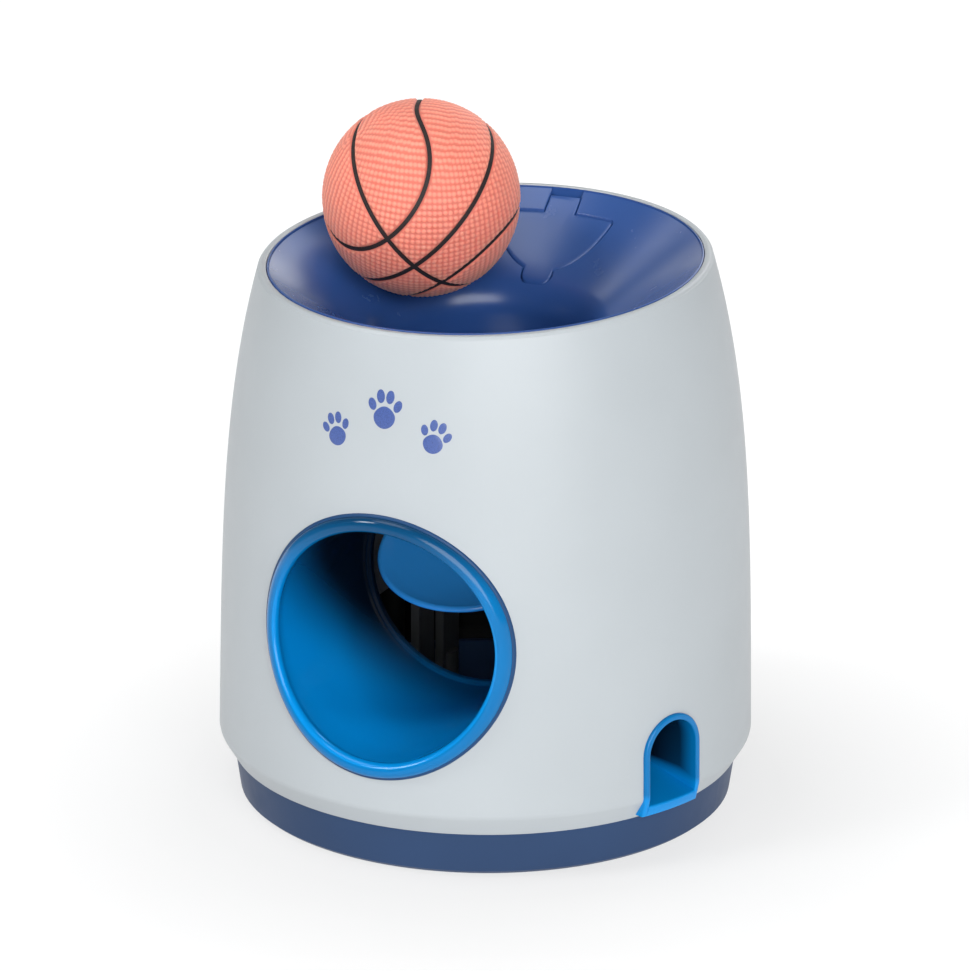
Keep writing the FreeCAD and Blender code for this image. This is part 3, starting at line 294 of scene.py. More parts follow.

# Studio. A soft box is a bright patch of the sky: its turn from the front towards +X, its height above the
# floor, half width and softness, all in degrees, and its strength. The floor's glow dips near the toy, a painted
# shadow.
SOFT_BOXES = [
    (35.0, 15.0, 20.0, 9.0, 6.4),
    (-46.0, 44.0, 6.0, 3.0, 19.0),
    (-50.0, 76.0, 12.0, 5.0, 3.4),
    (-122.0, 37.0, 7.0, 2.5, 2.0),
    (176.0, 25.0, 16.0, 8.0, 2.4),
    (-141.0, 8.0, 13.0, 8.0, 0.8),
]
SKY_TOP = 0.17
SKY_LOW = 0.2
SKY_RISE = 0.7
FLOOR_HALF = 3000.0
FLOOR_GLOW = 0.84
GLOW_DIP = 0.14
GLOW_NEAR = 95.0
GLOW_FAR = 180.0
THROAT_LIGHT = (6.0, -6.0, 138.0)
THROAT_LIGHT_SIZE = 22.0
THROAT_LIGHT_POWER = 0.01

# Camera, at the photograph's angle.
PHOTO_W = 970
PHOTO_H = 971
CAMERA_AZIMUTH = math.radians(23.5)
CAMERA_ELEVATION = math.radians(18.62)
CAMERA_DISTANCE = 1300.0
CAMERA_TARGET = Vector((0, 0, 90.0))
CAMERA_ROLL = 0.0049
FOCAL_PX = 4128.8
TARGET_PX = (486.4, 513.25)
SENSOR_W = 36.0

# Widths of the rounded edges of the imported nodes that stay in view.
EASED_NODES = {
    "base_plate": 0.25,
    "rubber_foot_1": 0.25,
    "rubber_foot_2": 0.25,
    "rubber_foot_3": 0.25,
    "rubber_foot_4": 0.25,
    "frame_right": 0.2,
    "frame_left": 0.2,
    "treat_chute": 0.15,
    "counterweight": 0.3,
    "sector_gear": 0.1,
    "drive_pinion": 0.1,
}


# Mesh tools

def mesh_object(name, points, faces):
    """New object from points in millimetres."""
    mesh = bpy.data.meshes.new(name)
    mesh.from_pydata([tuple(c * MM for c in p) for p in points], [], faces)
    mesh.validate()
    piece = bpy.data.objects.new(name, mesh)
    bpy.context.scene.collection.objects.link(piece)
    return piece


def outward(piece):
    """Makes all faces look outwards."""
    work = bmesh.new()
    work.from_mesh(piece.data)
    bmesh.ops.recalc_face_normals(work, faces=work.faces)
    work.to_mesh(piece.data)
    work.free()


def settle(piece):
    """Turns the modifiers of a piece into its mesh."""
    bpy.context.view_layer.update()
    seen = piece.evaluated_get(bpy.context.evaluated_depsgraph_get())
    made = bpy.data.meshes.new_from_object(seen)
    old = piece.data
    piece.modifiers.clear()
    piece.data = made
    bpy.data.meshes.remove(old)
    made.name = piece.name


def combine(piece, tools, operation):
    """Cuts or joins a piece with other meshes, which go."""
    for tool in tools:
        step = piece.modifiers.new("combine", "BOOLEAN")
        step.object = tool
        step.operation = operation
        step.solver = "EXACT"
        settle(piece)
        bpy.data.objects.remove(tool)
    return piece


def joined(name, pieces):
    """One object that holds the meshes of several, which go."""
    points, faces = [], []
    for piece in pieces:
        start = len(points)
        points += [v.co / MM for v in piece.data.vertices]
        faces += [[start + i for i in f.vertices] for f in piece.data.polygons]
        bpy.data.objects.remove(piece)
    return mesh_object(name, points, faces)


def vertex_array(piece):
    """Points of a piece in millimetres, one row each."""
    points = np.empty(len(piece.data.vertices) * 3)
    piece.data.vertices.foreach_get("co", points)
    return points.reshape(-1, 3) / MM


def point_values(piece, name, values):
    """Stores a value at each point of a piece, for its material."""
    layer = piece.data.attributes.new(name, "FLOAT", "POINT")
    layer.data.foreach_set("value", values.astype(np.float32))


def smooth_step(values, low, high):
    """Eases values from 0 at low to 1 at high."""
    t = np.clip((values - low) / (high - low), 0, 1)
    return t * t * (3 - 2 * t)


def finish_piece(piece, slot, body="root", replaces=(), angle=35.0, material=None):
    """Smooth shading, the material of the slot unless another is named, body, and hides the nodes that the piece
    stands for.
    """
    outward(piece)
    piece.data.shade_smooth()
    piece.data.set_sharp_from_angle(angle=math.radians(angle))
    piece.data.materials.clear()
    piece.data.materials.append(MATERIALS[material or slot])
    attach(piece, body)
    if replaces:
        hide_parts(*replaces)


def net(name, rings, loop=True):
    """Closed mesh over rings of points; the last ring joins the first, or else both end rings are capped."""
    count = len(rings[0])
    last = len(rings) - 1
    faces = []
    for i in range(len(rings) if loop else last):
        here = i * count
        there = (i + 1) % len(rings) * count
        for j in range(count):
            k = (j + 1) % count
            faces.append((here + j, here + k, there + k, there + j))
    if not loop:
        faces.append(tuple(reversed(range(count))))
        faces.append(tuple(range(last * count, last * count + count)))
    piece = mesh_object(name, [p for ring in rings for p in ring], faces)
    outward(piece)
    return piece


def solid_disc(name, profile, steps, place):
    """Turns an open profile that starts and ends on the axis into a closed solid; place moves each point."""
    points = [Vector((0, 0, profile[0][1]))]
    count = len(profile) - 2
    for i in range(steps):
        a = FULL_TURN * i / steps
        points += [Vector((r * math.cos(a), r * math.sin(a), z)) for r, z in profile[1:-1]]
    points.append(Vector((0, 0, profile[-1][1])))
    last = len(points) - 1
    faces = []
    for i in range(steps):
        here = 1 + i * count
        there = 1 + (i + 1) % steps * count
        faces.append((0, here, there))
        faces += [(here + j, here + j + 1, there + j + 1, there + j) for j in range(count - 1)]
        faces.append((here + count - 1, last, there + count - 1))
    piece = mesh_object(name, [place(p) for p in points], faces)
    outward(piece)
    return piece


def arc2(centre, r, start, end, steps):
    """Points of an arc in a plane, from one angle to another in degrees."""
    points = []
    for i in range(steps + 1):
        a = math.radians(start + (end - start) * i / steps)
        points.append((centre[0] + r * math.cos(a), centre[1] + r * math.sin(a)))
    return points


def round_corner(a, b, c, r, steps):
    """Points of the arc that rounds the corner at b between runs from a and to c."""
    a, b, c = Vector(a), Vector(b), Vector(c)
    back = (a - b).normalized()
    ahead = (c - b).normalized()
    half = back.angle(ahead) / 2
    centre = b + (back + ahead).normalized() * (r / math.sin(half))
    start = b + back * (r / math.tan(half)) - centre
    end = b + ahead * (r / math.tan(half)) - centre
    turn = start.angle_signed(end)
    points = []
    for i in range(steps + 1):
        spot = start.copy()
        spot.rotate(Matrix.Rotation(-turn * i / steps, 2))
        points.append(tuple(centre + spot))
    return points


def circle_outline(x, y, r, steps):
    turns = [FULL_TURN * i / steps for i in range(steps)]
    return [(x + r * math.cos(a), y + r * math.sin(a)) for a in turns]


def offset_outline(outline, distance):
    """Outline moved outwards by a distance, or inwards if it is negative; the outline turns left."""
    if not distance:
        return list(outline)
    points = []
    n = len(outline)
    for i in range(n):
        a, b, c = (Vector(outline[k % n]) for k in (i - 1, i, i + 1))
        before = (b - a).normalized()
        after = (c - b).normalized()
        side = Vector((before.y + after.y, -before.x - after.x))
        side.normalize()
        stretch = max(side.dot(Vector((before.y, -before.x))), 0.5)
        points.append(tuple(b + side * (distance / stretch)))
    return points


def prism(name, outline, low, high, place, edge=0.0):
    """Extrusion of an outline with eased ends; place makes a point from two plane values and a height."""
    levels = [(low, 0.0), (high, 0.0)]
    if edge:
        eased = [(0, edge), (edge * 0.3, edge * 0.3), (edge, 0)]
        levels = [(low + depth, inset) for depth, inset in eased]
        levels += [(high - depth, inset) for depth, inset in reversed(eased)]
    rings = [[place(a, b, h) for a, b in offset_outline(outline, -inset)] for h, inset in levels]
    return net(name, rings, loop=False)


def along_x(y, z, x):
    return Vector((x, y, z))


def along_y(x, z, y):
    return Vector((x, y, z))


def along_z(x, y, z):
    return Vector((x, y, z))


def rod_x(name, centre, r, low, high, steps, edge=0.0):
    """Round rod along X."""
    return prism(name, circle_outline(centre.y, centre.z, r, steps), low, high, along_x, edge)


def rod_z(name, centre, r, low, high, steps, edge=0.0):
    """Round rod along Z."""
    return prism(name, circle_outline(centre.x, centre.y, r, steps), low, high, along_z, edge)


# Form of the casing and of the dish

def casing_radius(z):
    """Outer radius of the casing's curve, its bevel left out."""
    t = (z - SHOULDER_Z) / (CASING_H + CASING_R * math.tan(SLOPE) - SHOULDER_Z)
    return CASING_R - CASING_TAPER * t - CASING_CURVE * max(t, 0) ** CURVE_POWER


SHOULDER_ARC = round_corner(
    (CASING_R - BEVEL_IN, RING_TOP),
    (casing_radius(SHOULDER_Z), SHOULDER_Z),
    (casing_radius(SHOULDER_Z + 30), SHOULDER_Z + 30),
    SHOULDER_ROUND,
    12,
)


def outline_radius(z):
    """Outer radius of the casing at any height, bevel and rounded shoulder included."""
    points = [(CASING_R - BEVEL_IN, RING_TOP)] + SHOULDER_ARC
    for (r0, z0), (r1, z1) in zip(points, points[1:]):
        if z < z1:
            return r0 + (r1 - r0) * (z - z0) / (z1 - z0)
    return casing_radius(z)


def mouth_height(a):
    """Height of the mouth's plane where it meets the casing, at an angle from +X."""
    z = CASING_H
    for _ in range(8):
        z = CASING_H + (casing_radius(z) * math.sin(a) - DISH_Y) * math.tan(SLOPE)
    return z


def dish_point(x, back, up):
    """Point of the dish's own frame, which slopes with the mouth, in the toy's frame."""
    y = DISH_Y + back * math.cos(SLOPE) - up * math.sin(SLOPE)
    z = CASING_H + back * math.sin(SLOPE) + up * math.cos(SLOPE)
    return Vector((x, y, z))


def dish_rise(r, depth):
    """Height of the dish's surface in its own frame at a radius, a depth below its upper side."""
    bend = THROAT_ROUND - depth
    touch = ROUND_U - bend * math.sin(CONE)
    if r >= touch:
        return (r - RIM_R) * math.tan(CONE) - depth / math.cos(CONE)
    return ROUND_W + math.sqrt(max(bend ** 2 - (ROUND_U - r) ** 2, 0))


def dish_height(x, y, depth):
    """Height in the toy's frame of the dish's surface over a point in plan."""
    up = 0.0
    for _ in range(12):
        back = (y - DISH_Y + up * math.sin(SLOPE)) / math.cos(SLOPE)
        up = dish_rise(math.hypot(x, back), depth)
    return dish_point(x, back, up).z


def on_dish(outline, depth):
    """Ring over an outline in plan, on the dish's surface or a depth below it."""
    return [Vector((x, y, dish_height(x, y, depth))) for x, y in outline]


# Materials

def linear(r, g, b):
    """Colour of the shader from a display colour of 0 to 255."""
    def one(v):
        v = v / 255
        return v / 12.92 if v <= 0.04045 else ((v + 0.055) / 1.055) ** 2.4
    return (one(r), one(g), one(b), 1.0)


def shaded(colour, share):
    """A colour made darker or lighter by a share."""
    return tuple(min(c * share, 1.0) for c in colour[:3]) + (1.0,)


class Nodes:
    """Short calls for the nodes of a material or of the world."""

    def __init__(self, owner):
        owner.use_nodes = True
        self.tree = owner.node_tree

    def node(self, kind, **values):
        made = self.tree.nodes.new(kind)
        for key, value in values.items():
            setattr(made, key, value)
        return made

    def link(self, source, target):
        self.tree.links.new(source, target)

    def ranged(self, source, to_low, to_high, low=0.3, high=0.7, **values):
        """Maps the range from low to high, by default the middle of a noise, to another."""
        made = self.node("ShaderNodeMapRange", **values)
        for key, value in zip(("From Min", "From Max", "To Min", "To Max"), (low, high, to_low, to_high)):
            made.inputs[key].default_value = value
        self.link(source, made.inputs["Value"])
        return made.outputs["Result"]

    def mixed(self, factor, a, b):
        """Mix of two colours, each a value or a socket."""
        made = self.node("ShaderNodeMix", data_type="RGBA")
        self.link(factor, made.inputs[0])
        for socket, value in ((6, a), (7, b)):
            if isinstance(value, tuple):
                made.inputs[socket].default_value = value
            else:
                self.link(value, made.inputs[socket])
        return made.outputs[2]

    def added(self, a, b):
        made = self.node("ShaderNodeMath", operation="ADD")
        self.link(a, made.inputs[0])
        self.link(b, made.inputs[1])
        return made.outputs["Value"]


class Shader(Nodes):
    """A material with a Principled shader."""

    def __init__(self, name, roughness, metallic=0.0):
        self.material = bpy.data.materials.new(name)
        super().__init__(self.material)
        self.shader = self.tree.nodes["Principled BSDF"]
        self.uniform({"Roughness": roughness, "Metallic": metallic, "IOR": 1.5})
        self.place = self.node("ShaderNodeTexCoord").outputs["Object"]

    def uniform(self, values):
        """Sets inputs of the shader that are the same all over."""
        for name, value in values.items():
            self.shader.inputs[name].default_value = value

    def feed(self, name, source):
        self.link(source, self.shader.inputs[name])

    def noise(self, size, detail=3.0, rough=0.5, stretch=(1, 1, 1), shift=0.0):
        """Noise whose grains are about a size in millimetres; stretch draws them out along the axes."""
        mapping = self.node("ShaderNodeMapping")
        mapping.inputs["Scale"].default_value = tuple(1 / s for s in stretch)
        mapping.inputs["Location"].default_value = (shift, shift * 0.7, -shift)
        self.link(self.place, mapping.inputs["Vector"])
        made = self.node("ShaderNodeTexNoise")
        for name, value in (("Scale", 1 / (size * MM)), ("Detail", detail), ("Roughness", rough)):
            made.inputs[name].default_value = value
        self.link(mapping.outputs["Vector"], made.inputs["Vector"])
        return made.outputs["Fac"]

    def varied(self, source, colour, dark, light, low=0.3, high=0.7):
        """A colour that a noise takes from a dark share of it to a light one."""
        factor = self.ranged(source, 0.0, 1.0, low, high)
        return self.mixed(factor, shaded(colour, dark), shaded(colour, light))

    def bump(self, source, height, strength=1.0):
        """Adds relief of a height in millimetres; relief adds up over calls."""
        made = self.node("ShaderNodeBump")
        made.inputs["Distance"].default_value = height * MM
        made.inputs["Strength"].default_value = strength
        self.link(source, made.inputs["Height"])
        socket = self.shader.inputs["Normal"]
        if socket.is_linked:
            self.link(socket.links[0].from_socket, made.inputs["Normal"])
        self.link(made.outputs["Normal"], socket)


def moulded(name, colour, roughness, grain, relief, drift, spread, scuff=0.0, specular=0.5):
    """Moulded plastic: slight drift of its colour, a fine eroded grain, uneven gloss, and faint scuffs."""
    s = Shader(name, roughness)
    s.uniform({"Specular IOR Level": specular})
    base = s.varied(s.noise(38.0, 2.0), colour, 1 - drift, 1 + drift)
    fine = s.noise(grain, 2.0, 0.6)
    base = s.mixed(s.ranged(fine, 0.0, drift), base, shaded(colour, 0.6))
    gloss = s.ranged(s.noise(9.0, 4.0, 0.6), roughness - spread / 2, roughness + spread / 2)
    if scuff:
        lines = s.ranged(s.noise(2.2, 5.0, 0.75, (1, 1, 9), 3.0), 0.0, scuff, 0.62, 0.72)
        base = s.mixed(lines, base, shaded(colour, 1.6))
        gloss = s.added(gloss, lines)
    s.feed("Base Color", base)
    s.feed("Roughness", gloss)
    s.bump(fine, relief)
    s.bump(s.noise(14.0, 1.0), relief * 3, 0.5)
    return s.material


def bore_plastic(plain):
    """The tunnel's plastic with painted shade, which fades it to a dark blue as its painted-shade attribute rises
    to 1.
    """
    material = plain.copy()
    material.name = "tunnel_blue_painted_shade"
    s = Nodes(material)
    socket = s.tree.nodes["Principled BSDF"].inputs["Base Color"]
    painted_shade = s.node("ShaderNodeAttribute", attribute_name="painted_shade")
    s.link(s.mixed(painted_shade.outputs["Fac"], socket.links[0].from_socket, linear(5, 18, 34)), socket)
    return material


def ball_rubber():
    """Matt coral rubber in uneven tones, with painted shade in a darker red between the pebbles, and a soft sheen.
    """
    s = Shader("ball_rubber", 0.62)
    pebble = s.node("ShaderNodeAttribute", attribute_name="pebble").outputs["Fac"]
    base = s.varied(s.noise(16.0, 3.0), linear(238, 146, 124), 0.94, 1.06)
    # Painted shade: a darker red between the pebbles.
    base = s.mixed(s.ranged(pebble, 0.6, 0.0, 0.0, 0.8), base, linear(190, 72, 60))
    fine = s.noise(0.28, 3.0, 0.6)
    s.feed("Base Color", base)
    s.feed("Roughness", s.ranged(fine, 0.55, 0.72))
    s.bump(fine, 0.02)
    s.uniform({
        "Sheen Weight": 0.18,
        "Sheen Roughness": 0.5,
        "Sheen Tint": (1.0, 0.75, 0.66, 1.0),
        "Subsurface Weight": 0.55,
        "Subsurface Radius": (1.0, 0.35, 0.28),
        "Subsurface Scale": 7.0 * MM,
    })
    return s.material


def plain_rubber(name, colour, roughness):
    """Rubber with a fine grain and uneven gloss."""
    s = Shader(name, roughness)
    fine = s.noise(0.35, 4.0, 0.65)
    s.feed("Base Color", s.varied(fine, colour, 0.8, 1.3))
    s.feed("Roughness", s.ranged(s.noise(3.0, 3.0), roughness - 0.08, roughness + 0.1))
    s.bump(fine, 0.03)
    return s.material


def turned_steel(name, colour, roughness, stretch):
    """Metal with fine tool marks drawn out across one axis."""
    s = Shader(name, roughness, metallic=1.0)
    marks = s.noise(0.25, 3.0, 0.6, stretch)
    s.feed("Base Color", s.varied(marks, colour, 0.86, 1.1))
    s.feed("Roughness", s.ranged(marks, roughness - 0.08, roughness + 0.12))
    s.bump(marks, 0.004)
    return s.material


def ink(name, colour):
    """Pad-printed ink, slightly uneven."""
    s = Shader(name, 0.38)
    fine = s.noise(0.3, 3.0)
    s.feed("Base Color", s.varied(fine, colour, 0.85, 1.2, 0.35, 0.65))
    s.feed("Roughness", s.ranged(s.noise(2.0, 2.0), 0.32, 0.46))
    s.bump(fine, 0.01)
    return s.material


PLASTICS = {
    "casing_grey": (linear(168, 174, 178), 0.4, 0.5, 0.006, 0.018, 0.05, 0.03, 0.3),
    # Near-black painted shade for the casing's inside and its posts.
    "casing_inside_painted_shade": (linear(20, 21, 22), 0.6, 0.4, 0.012, 0.06, 0.08, 0.0, 0.1),
    "dish_navy": (linear(43, 76, 136), 0.25, 0.45, 0.006, 0.03, 0.05, 0.0, 0.4),
    "base_navy": (linear(40, 62, 96), 0.45, 0.45, 0.012, 0.06, 0.08, 0.05, 0.2),
    # Dark navy of the thin ring about the lip, which paints the shade along its outer edge.
    "lip_shade_navy": (linear(22, 62, 104), 0.45, 0.45, 0.012, 0.06, 0.08, 0.0, 0.3),
    "tunnel_blue": (linear(2, 128, 200), 0.14, 0.6, 0.004, 0.04, 0.04, 0.0, 0.25),
    "paddle_blue": (linear(44, 134, 208), 0.13, 0.6, 0.003, 0.04, 0.04, 0.0, 0.4),
    "inner_grey": (linear(66, 68, 70), 0.48, 0.4, 0.012, 0.04, 0.08),
    # The inner parts' own dark plastic, pushed further to near black as painted shade.
    "inner_dark": (linear(7, 7, 9), 0.6, 0.4, 0.012, 0.06, 0.08, 0.0, 0.1),
    "gear_white": (linear(226, 225, 216), 0.42, 0.5, 0.008, 0.03, 0.06),
}
STEELS = {
    "pin_steel": (linear(200, 200, 202), 0.25, (14, 1, 1)),
    "weight_steel": (linear(150, 150, 153), 0.38, (14, 1, 1)),
    "screw_steel": (linear(205, 205, 200), 0.28, (1, 1, 10)),
}
MATERIALS = {name: moulded(name, *values) for name, values in PLASTICS.items()}
MATERIALS.update({name: turned_steel(name, *values) for name, values in STEELS.items()})
# Blue with painted shade, for the bore, the lip and the arch.
MATERIALS["tunnel_blue_painted_shade"] = bore_plastic(MATERIALS["tunnel_blue"])
MATERIALS["ball_rubber"] = ball_rubber()
MATERIALS["foot_rubber"] = plain_rubber("foot_rubber", linear(40, 40, 43), 0.75)
MATERIALS["seam_paint"] = plain_rubber("seam_paint", linear(26, 18, 18), 0.7)
MATERIALS["print_ink"] = ink("print_ink", linear(62, 82, 140))


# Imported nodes

def repaint_nodes():
    """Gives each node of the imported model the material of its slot."""
    for part in frame["record"]["subparts"]:
        node = frame["nodes"][part["node"]]
        node.data.materials.clear()
        node.data.materials.append(MATERIALS[part["material_slot"]])
    frame["nodes"]["base_plate"].data.materials[0] = MATERIALS["base_navy"]


def ease_nodes():
    """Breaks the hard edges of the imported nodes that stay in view, and shades their round faces smooth."""
    for name, width in EASED_NODES.items():
        node = frame["nodes"][name]
        node.data.shade_smooth()
        node.data.set_sharp_from_angle(angle=math.radians(28.0))
        edge = node.modifiers.new("eased_edges", "BEVEL")
        edge.width = width * MM
        edge.segments = 2
        edge.limit_method = "ANGLE"
        edge.angle_limit = math.radians(40.0)


# Casing

def casing_section(a):
    """Closed section of the casing in a direction from +X, as (radius, height)."""
    top = mouth_height(a)
    rim_r = casing_radius(top)
    foot_r = CASING_R - BEVEL_IN
    low = SHOULDER_ARC[-1][1]
    high = top - RIM_ROUND
    inner = RIM_INNER_ROUND
    section = [(foot_r - FOOT_ROUND, RING_TOP), (foot_r - FOOT_ROUND * 0.2, RING_TOP + FOOT_ROUND * 0.4)]
    section += SHOULDER_ARC
    for k in range(1, CASING_ROWS + 1):
        z = low + (high - low) * k / CASING_ROWS
        section.append((casing_radius(z), z))
    section += arc2((rim_r - RIM_ROUND, high), RIM_ROUND, 15, 90, 6)
    section += arc2((rim_r - CASING_WALL + inner, top - inner), inner, 90, 180, 3)
    for k in range(1, CASING_INNER_ROWS + 1):
        z = top - inner - (top - inner - SHOULDER_Z) * k / CASING_INNER_ROWS
        section.append((casing_radius(z) - CASING_WALL, z))
    section.append((foot_r - CASING_WALL, RING_TOP))
    return section


def turned(name, section_at, steps):
    """Closed mesh over the sections that a function gives for each direction about the vertical axis."""
    rings = []
    for i in range(steps):
        a = FULL_TURN * i / steps
        rings.append([Vector((r * math.cos(a), r * math.sin(a), z)) for r, z in section_at(a)])
    return net(name, rings)


def outer_shell():
    """Casing with its two openings, painted near black as painted shade on the inside below the dish."""
    shell = turned("casing_shell", casing_section, CASING_COLUMNS)
    circle = circle_outline(0, TUNNEL_Z, TUNNEL_R + TUNNEL_WALL + DISH_GAP, TUNNEL_COLUMNS)
    arch = arch_outline(ARCH_HALF - ARCH_WALL / 2, ARCH_TOP - ARCH_WALL / 2, ARCH_LOW + ARCH_OVERLAP)
    tunnel_hole = prism("hole", circle, -CASING_R - 10, -CASING_R / 2, along_y)
    arch_hole = prism("hole", arch, ARCH_INNER_R, CASING_R + 10, outlet_point)
    combine(shell, [tunnel_hole, arch_hole], "DIFFERENCE")
    finish_piece(shell, "casing_grey", replaces=["outer_shell"], angle=30.0)
    # Near-black painted shade on the inner faces below the dish.
    shell.data.materials.append(MATERIALS["casing_inside_painted_shade"])
    for face in shell.data.polygons:
        spot = face.center / MM
        inner = math.hypot(spot.x, spot.y) < outline_radius(spot.z) - CASING_WALL * 0.6
        if inner and spot.z < mouth_height(math.atan2(spot.y, spot.x)) - DISH_EDGE_DEPTH:
            face.material_index = 1


def base_ring():
    """Navy ring, which stands out a little past the plain base plate inside it and draws in below."""
    r, edge = BASE_RING_R, BASE_RING_ROUND
    low, high = BASE_RING_LOW, RING_TOP - BASE_RING_GAP
    section = [(r - 3.0, high)] + arc2((r - edge, high - edge), edge, 90, 0, 5)
    section += [(r, high - 3.5), (r - 0.25, high - 5.0), (r - 0.7, high - 7.0), (r - 1.4, high - 9.0)]
    section += [(r - 2.1, low + 0.4), (r - 2.6, low), (r - 4.0, low)]
    ring = turned("base_ring", lambda a: section, CASING_COLUMNS)
    finish_piece(ring, "dish_navy", angle=40.0, material="base_navy")


# Treat outlet

def outlet_point(u, z, out):
    """Point at a sideways place, a height and a distance out along the outlet's direction."""
    along = Vector((math.sin(OUTLET_ANGLE), -math.cos(OUTLET_ANGLE), 0))
    side = Vector((math.cos(OUTLET_ANGLE), math.sin(OUTLET_ANGLE), 0))
    return along * out + side * u + Vector((0, 0, z))


def arch_outline(half, top, low):
    """Closed outline of an arch over a height."""
    return [(-half, low), (half, low)] + arc2((0, top - half), half, 0, 180, 24)


def arch_front(u, z, out):
    """Distance along the outlet's direction to the arch's front, which follows half of the casing's bevel."""
    return math.sqrt(((casing_radius(z) + outline_radius(z)) / 2 + out) ** 2 - u ** 2)


def arch_frame(low, leg_rows=10):
    """Arch without its floor: a section of (inwards, out) led round it; None reaches to its inner end."""
    spring = ARCH_TOP - ARCH_HALF
    legs = [low + (spring - low) * k / leg_rows for k in range(leg_rows)]
    path = [((ARCH_HALF, z), (1, 0)) for z in legs]
    for k in range(ARCH_STEPS + 1):
        a = math.pi * k / ARCH_STEPS
        path.append(((ARCH_HALF * math.cos(a), spring + ARCH_HALF * math.sin(a)), (math.cos(a), math.sin(a))))
    path += [((-ARCH_HALF, z), (-1, 0)) for z in reversed(legs)]
    r = ARCH_EDGE_ROUND
    section = [(0.0, -1.0)]
    section += [(r - x, y) for x, y in arc2((0, ARCH_OUT - r), r, 0, 90, 4)]
    section += [(ARCH_WALL - r + x, y) for x, y in arc2((0, ARCH_OUT - r), r, 90, 0, 4)]
    section += [(ARCH_WALL, -1.0), (ARCH_WALL, -6.0), (ARCH_WALL, None), (0.0, None), (0.0, -6.0)]
    rings = []
    for (u, z), (nu, nz) in path:
        ring = []
        for inward, out in section:
            pu, pz = u - nu * inward, z - nz * inward
            reach = ARCH_INNER_R if out is None else arch_front(pu, pz, out)
            ring.append(outlet_point(pu, pz, reach))
        rings.append(ring)
    return net("arch", rings, loop=False)


def arch_floor(low, columns=16):
    """Floor of the arch, which slopes down to a rounded front edge."""
    half = ARCH_HALF - ARCH_WALL + ARCH_OVERLAP
    slope = (ARCH_FLOOR_IN - ARCH_FLOOR_OUT) / (CASING_R - ARCH_INNER_R)
    r = ARCH_EDGE_ROUND
    rings = []
    for k in range(columns + 1):
        u = -half + 2 * half * k / columns
        front = arch_front(u, ARCH_FLOOR_OUT, ARCH_OUT)
        top = ARCH_FLOOR_IN - slope * (front - ARCH_INNER_R)
        ring = [outlet_point(u, low, ARCH_INNER_R), outlet_point(u, ARCH_FLOOR_IN, ARCH_INNER_R)]
        ring += [outlet_point(u, y, x) for x, y in arc2((front - r, top - r), r, 90, 0, 4)]
        ring.append(outlet_point(u, low, arch_front(u, low, ARCH_OUT)))
        rings.append(ring)
    return net("floor", rings, loop=False)


def outlet_frame():
    """Arch and its floor; above the floor, the arch has a light painted shade all over and painted shade that
    darkens it towards the inside.
    """
    piece = joined("treat_outlet_arch", [arch_frame(ARCH_LOW), arch_floor(ARCH_LOW)])
    points = vertex_array(piece)
    reach = points[:, 0] * math.sin(OUTLET_ANGLE) - points[:, 1] * math.cos(OUTLET_ANGLE)
    over_floor = smooth_step(points[:, 2], ARCH_FLOOR_IN, ARCH_FLOOR_IN + 2)
    shade = smooth_step(CASING_R - 1 - reach, ARCH_BRIGHT, ARCH_DARK) * over_floor
    point_values(piece, "painted_shade", np.maximum(shade, EDGE_SHADE * (over_floor > 0)))
    finish_piece(piece, "tunnel_blue", replaces=["outlet_frame"], material="tunnel_blue_painted_shade")


# Ball tunnel

def wrapped_ring(name, profile):
    """Ring about the tunnel's axis from (radius, y, out); where y is None, out is from the casing."""
    rings = []
    for j in range(TUNNEL_COLUMNS):
        a = FULL_TURN * j / TUNNEL_COLUMNS
        ring = []
        for r, y, out in profile:
            x = r * math.cos(a)
            z = TUNNEL_Z + r * math.sin(a)
            if y is None:
                ring.append(Vector((x, -math.sqrt((casing_radius(z) + out) ** 2 - x ** 2), z)))
            else:
                ring.append(Vector((x, y, z)))
        rings.append(ring)
    return net(name, rings)


def rolled(middle, roll, lift, start, end, steps):
    """Profile of a rolled edge, from one angle to another, kept clear of the casing."""
    return [(r, None, max(out, LIP_SEAT)) for r, out in arc2((middle, lift), roll, start, end, steps)]


def tunnel_profile():
    """Closed section of the tunnel: rolled lip, bore, ledge at the inner end, and outside."""
    outer = TUNNEL_R + TUNNEL_WALL
    collar = TUNNEL_END - LEDGE_T
    step = LEDGE_EDGE
    profile = rolled(LIP_MIDDLE, LIP_ROLL, LIP_LIFT, 0, 150, 16)
    profile += [(r, None, out) for r, out in arc2((LIP_MIDDLE, LIP_LIFT), LIP_ROLL, 165, 215, 4)]
    profile.append((TUNNEL_R, None, -LIP_BACK))
    for k in range(5, TUNNEL_ROWS + 1):
        profile.append((TUNNEL_R, -CASING_R + (collar - step + CASING_R) * k / TUNNEL_ROWS, 0))
    return profile + [
        (TUNNEL_R - step, collar, 0),
        (TUNNEL_R - LEDGE_IN + step, collar, 0),
        (TUNNEL_R - LEDGE_IN, collar + step, 0),
        (TUNNEL_R - LEDGE_IN, TUNNEL_END, 0),
        (outer, TUNNEL_END, 0),
        (outer, None, -CASING_WALL),
        (outer, None, LIP_SEAT / 2),
        (LIP_MIDDLE + LIP_ROLL - LIP_SEAT, None, LIP_SEAT / 2),
    ]


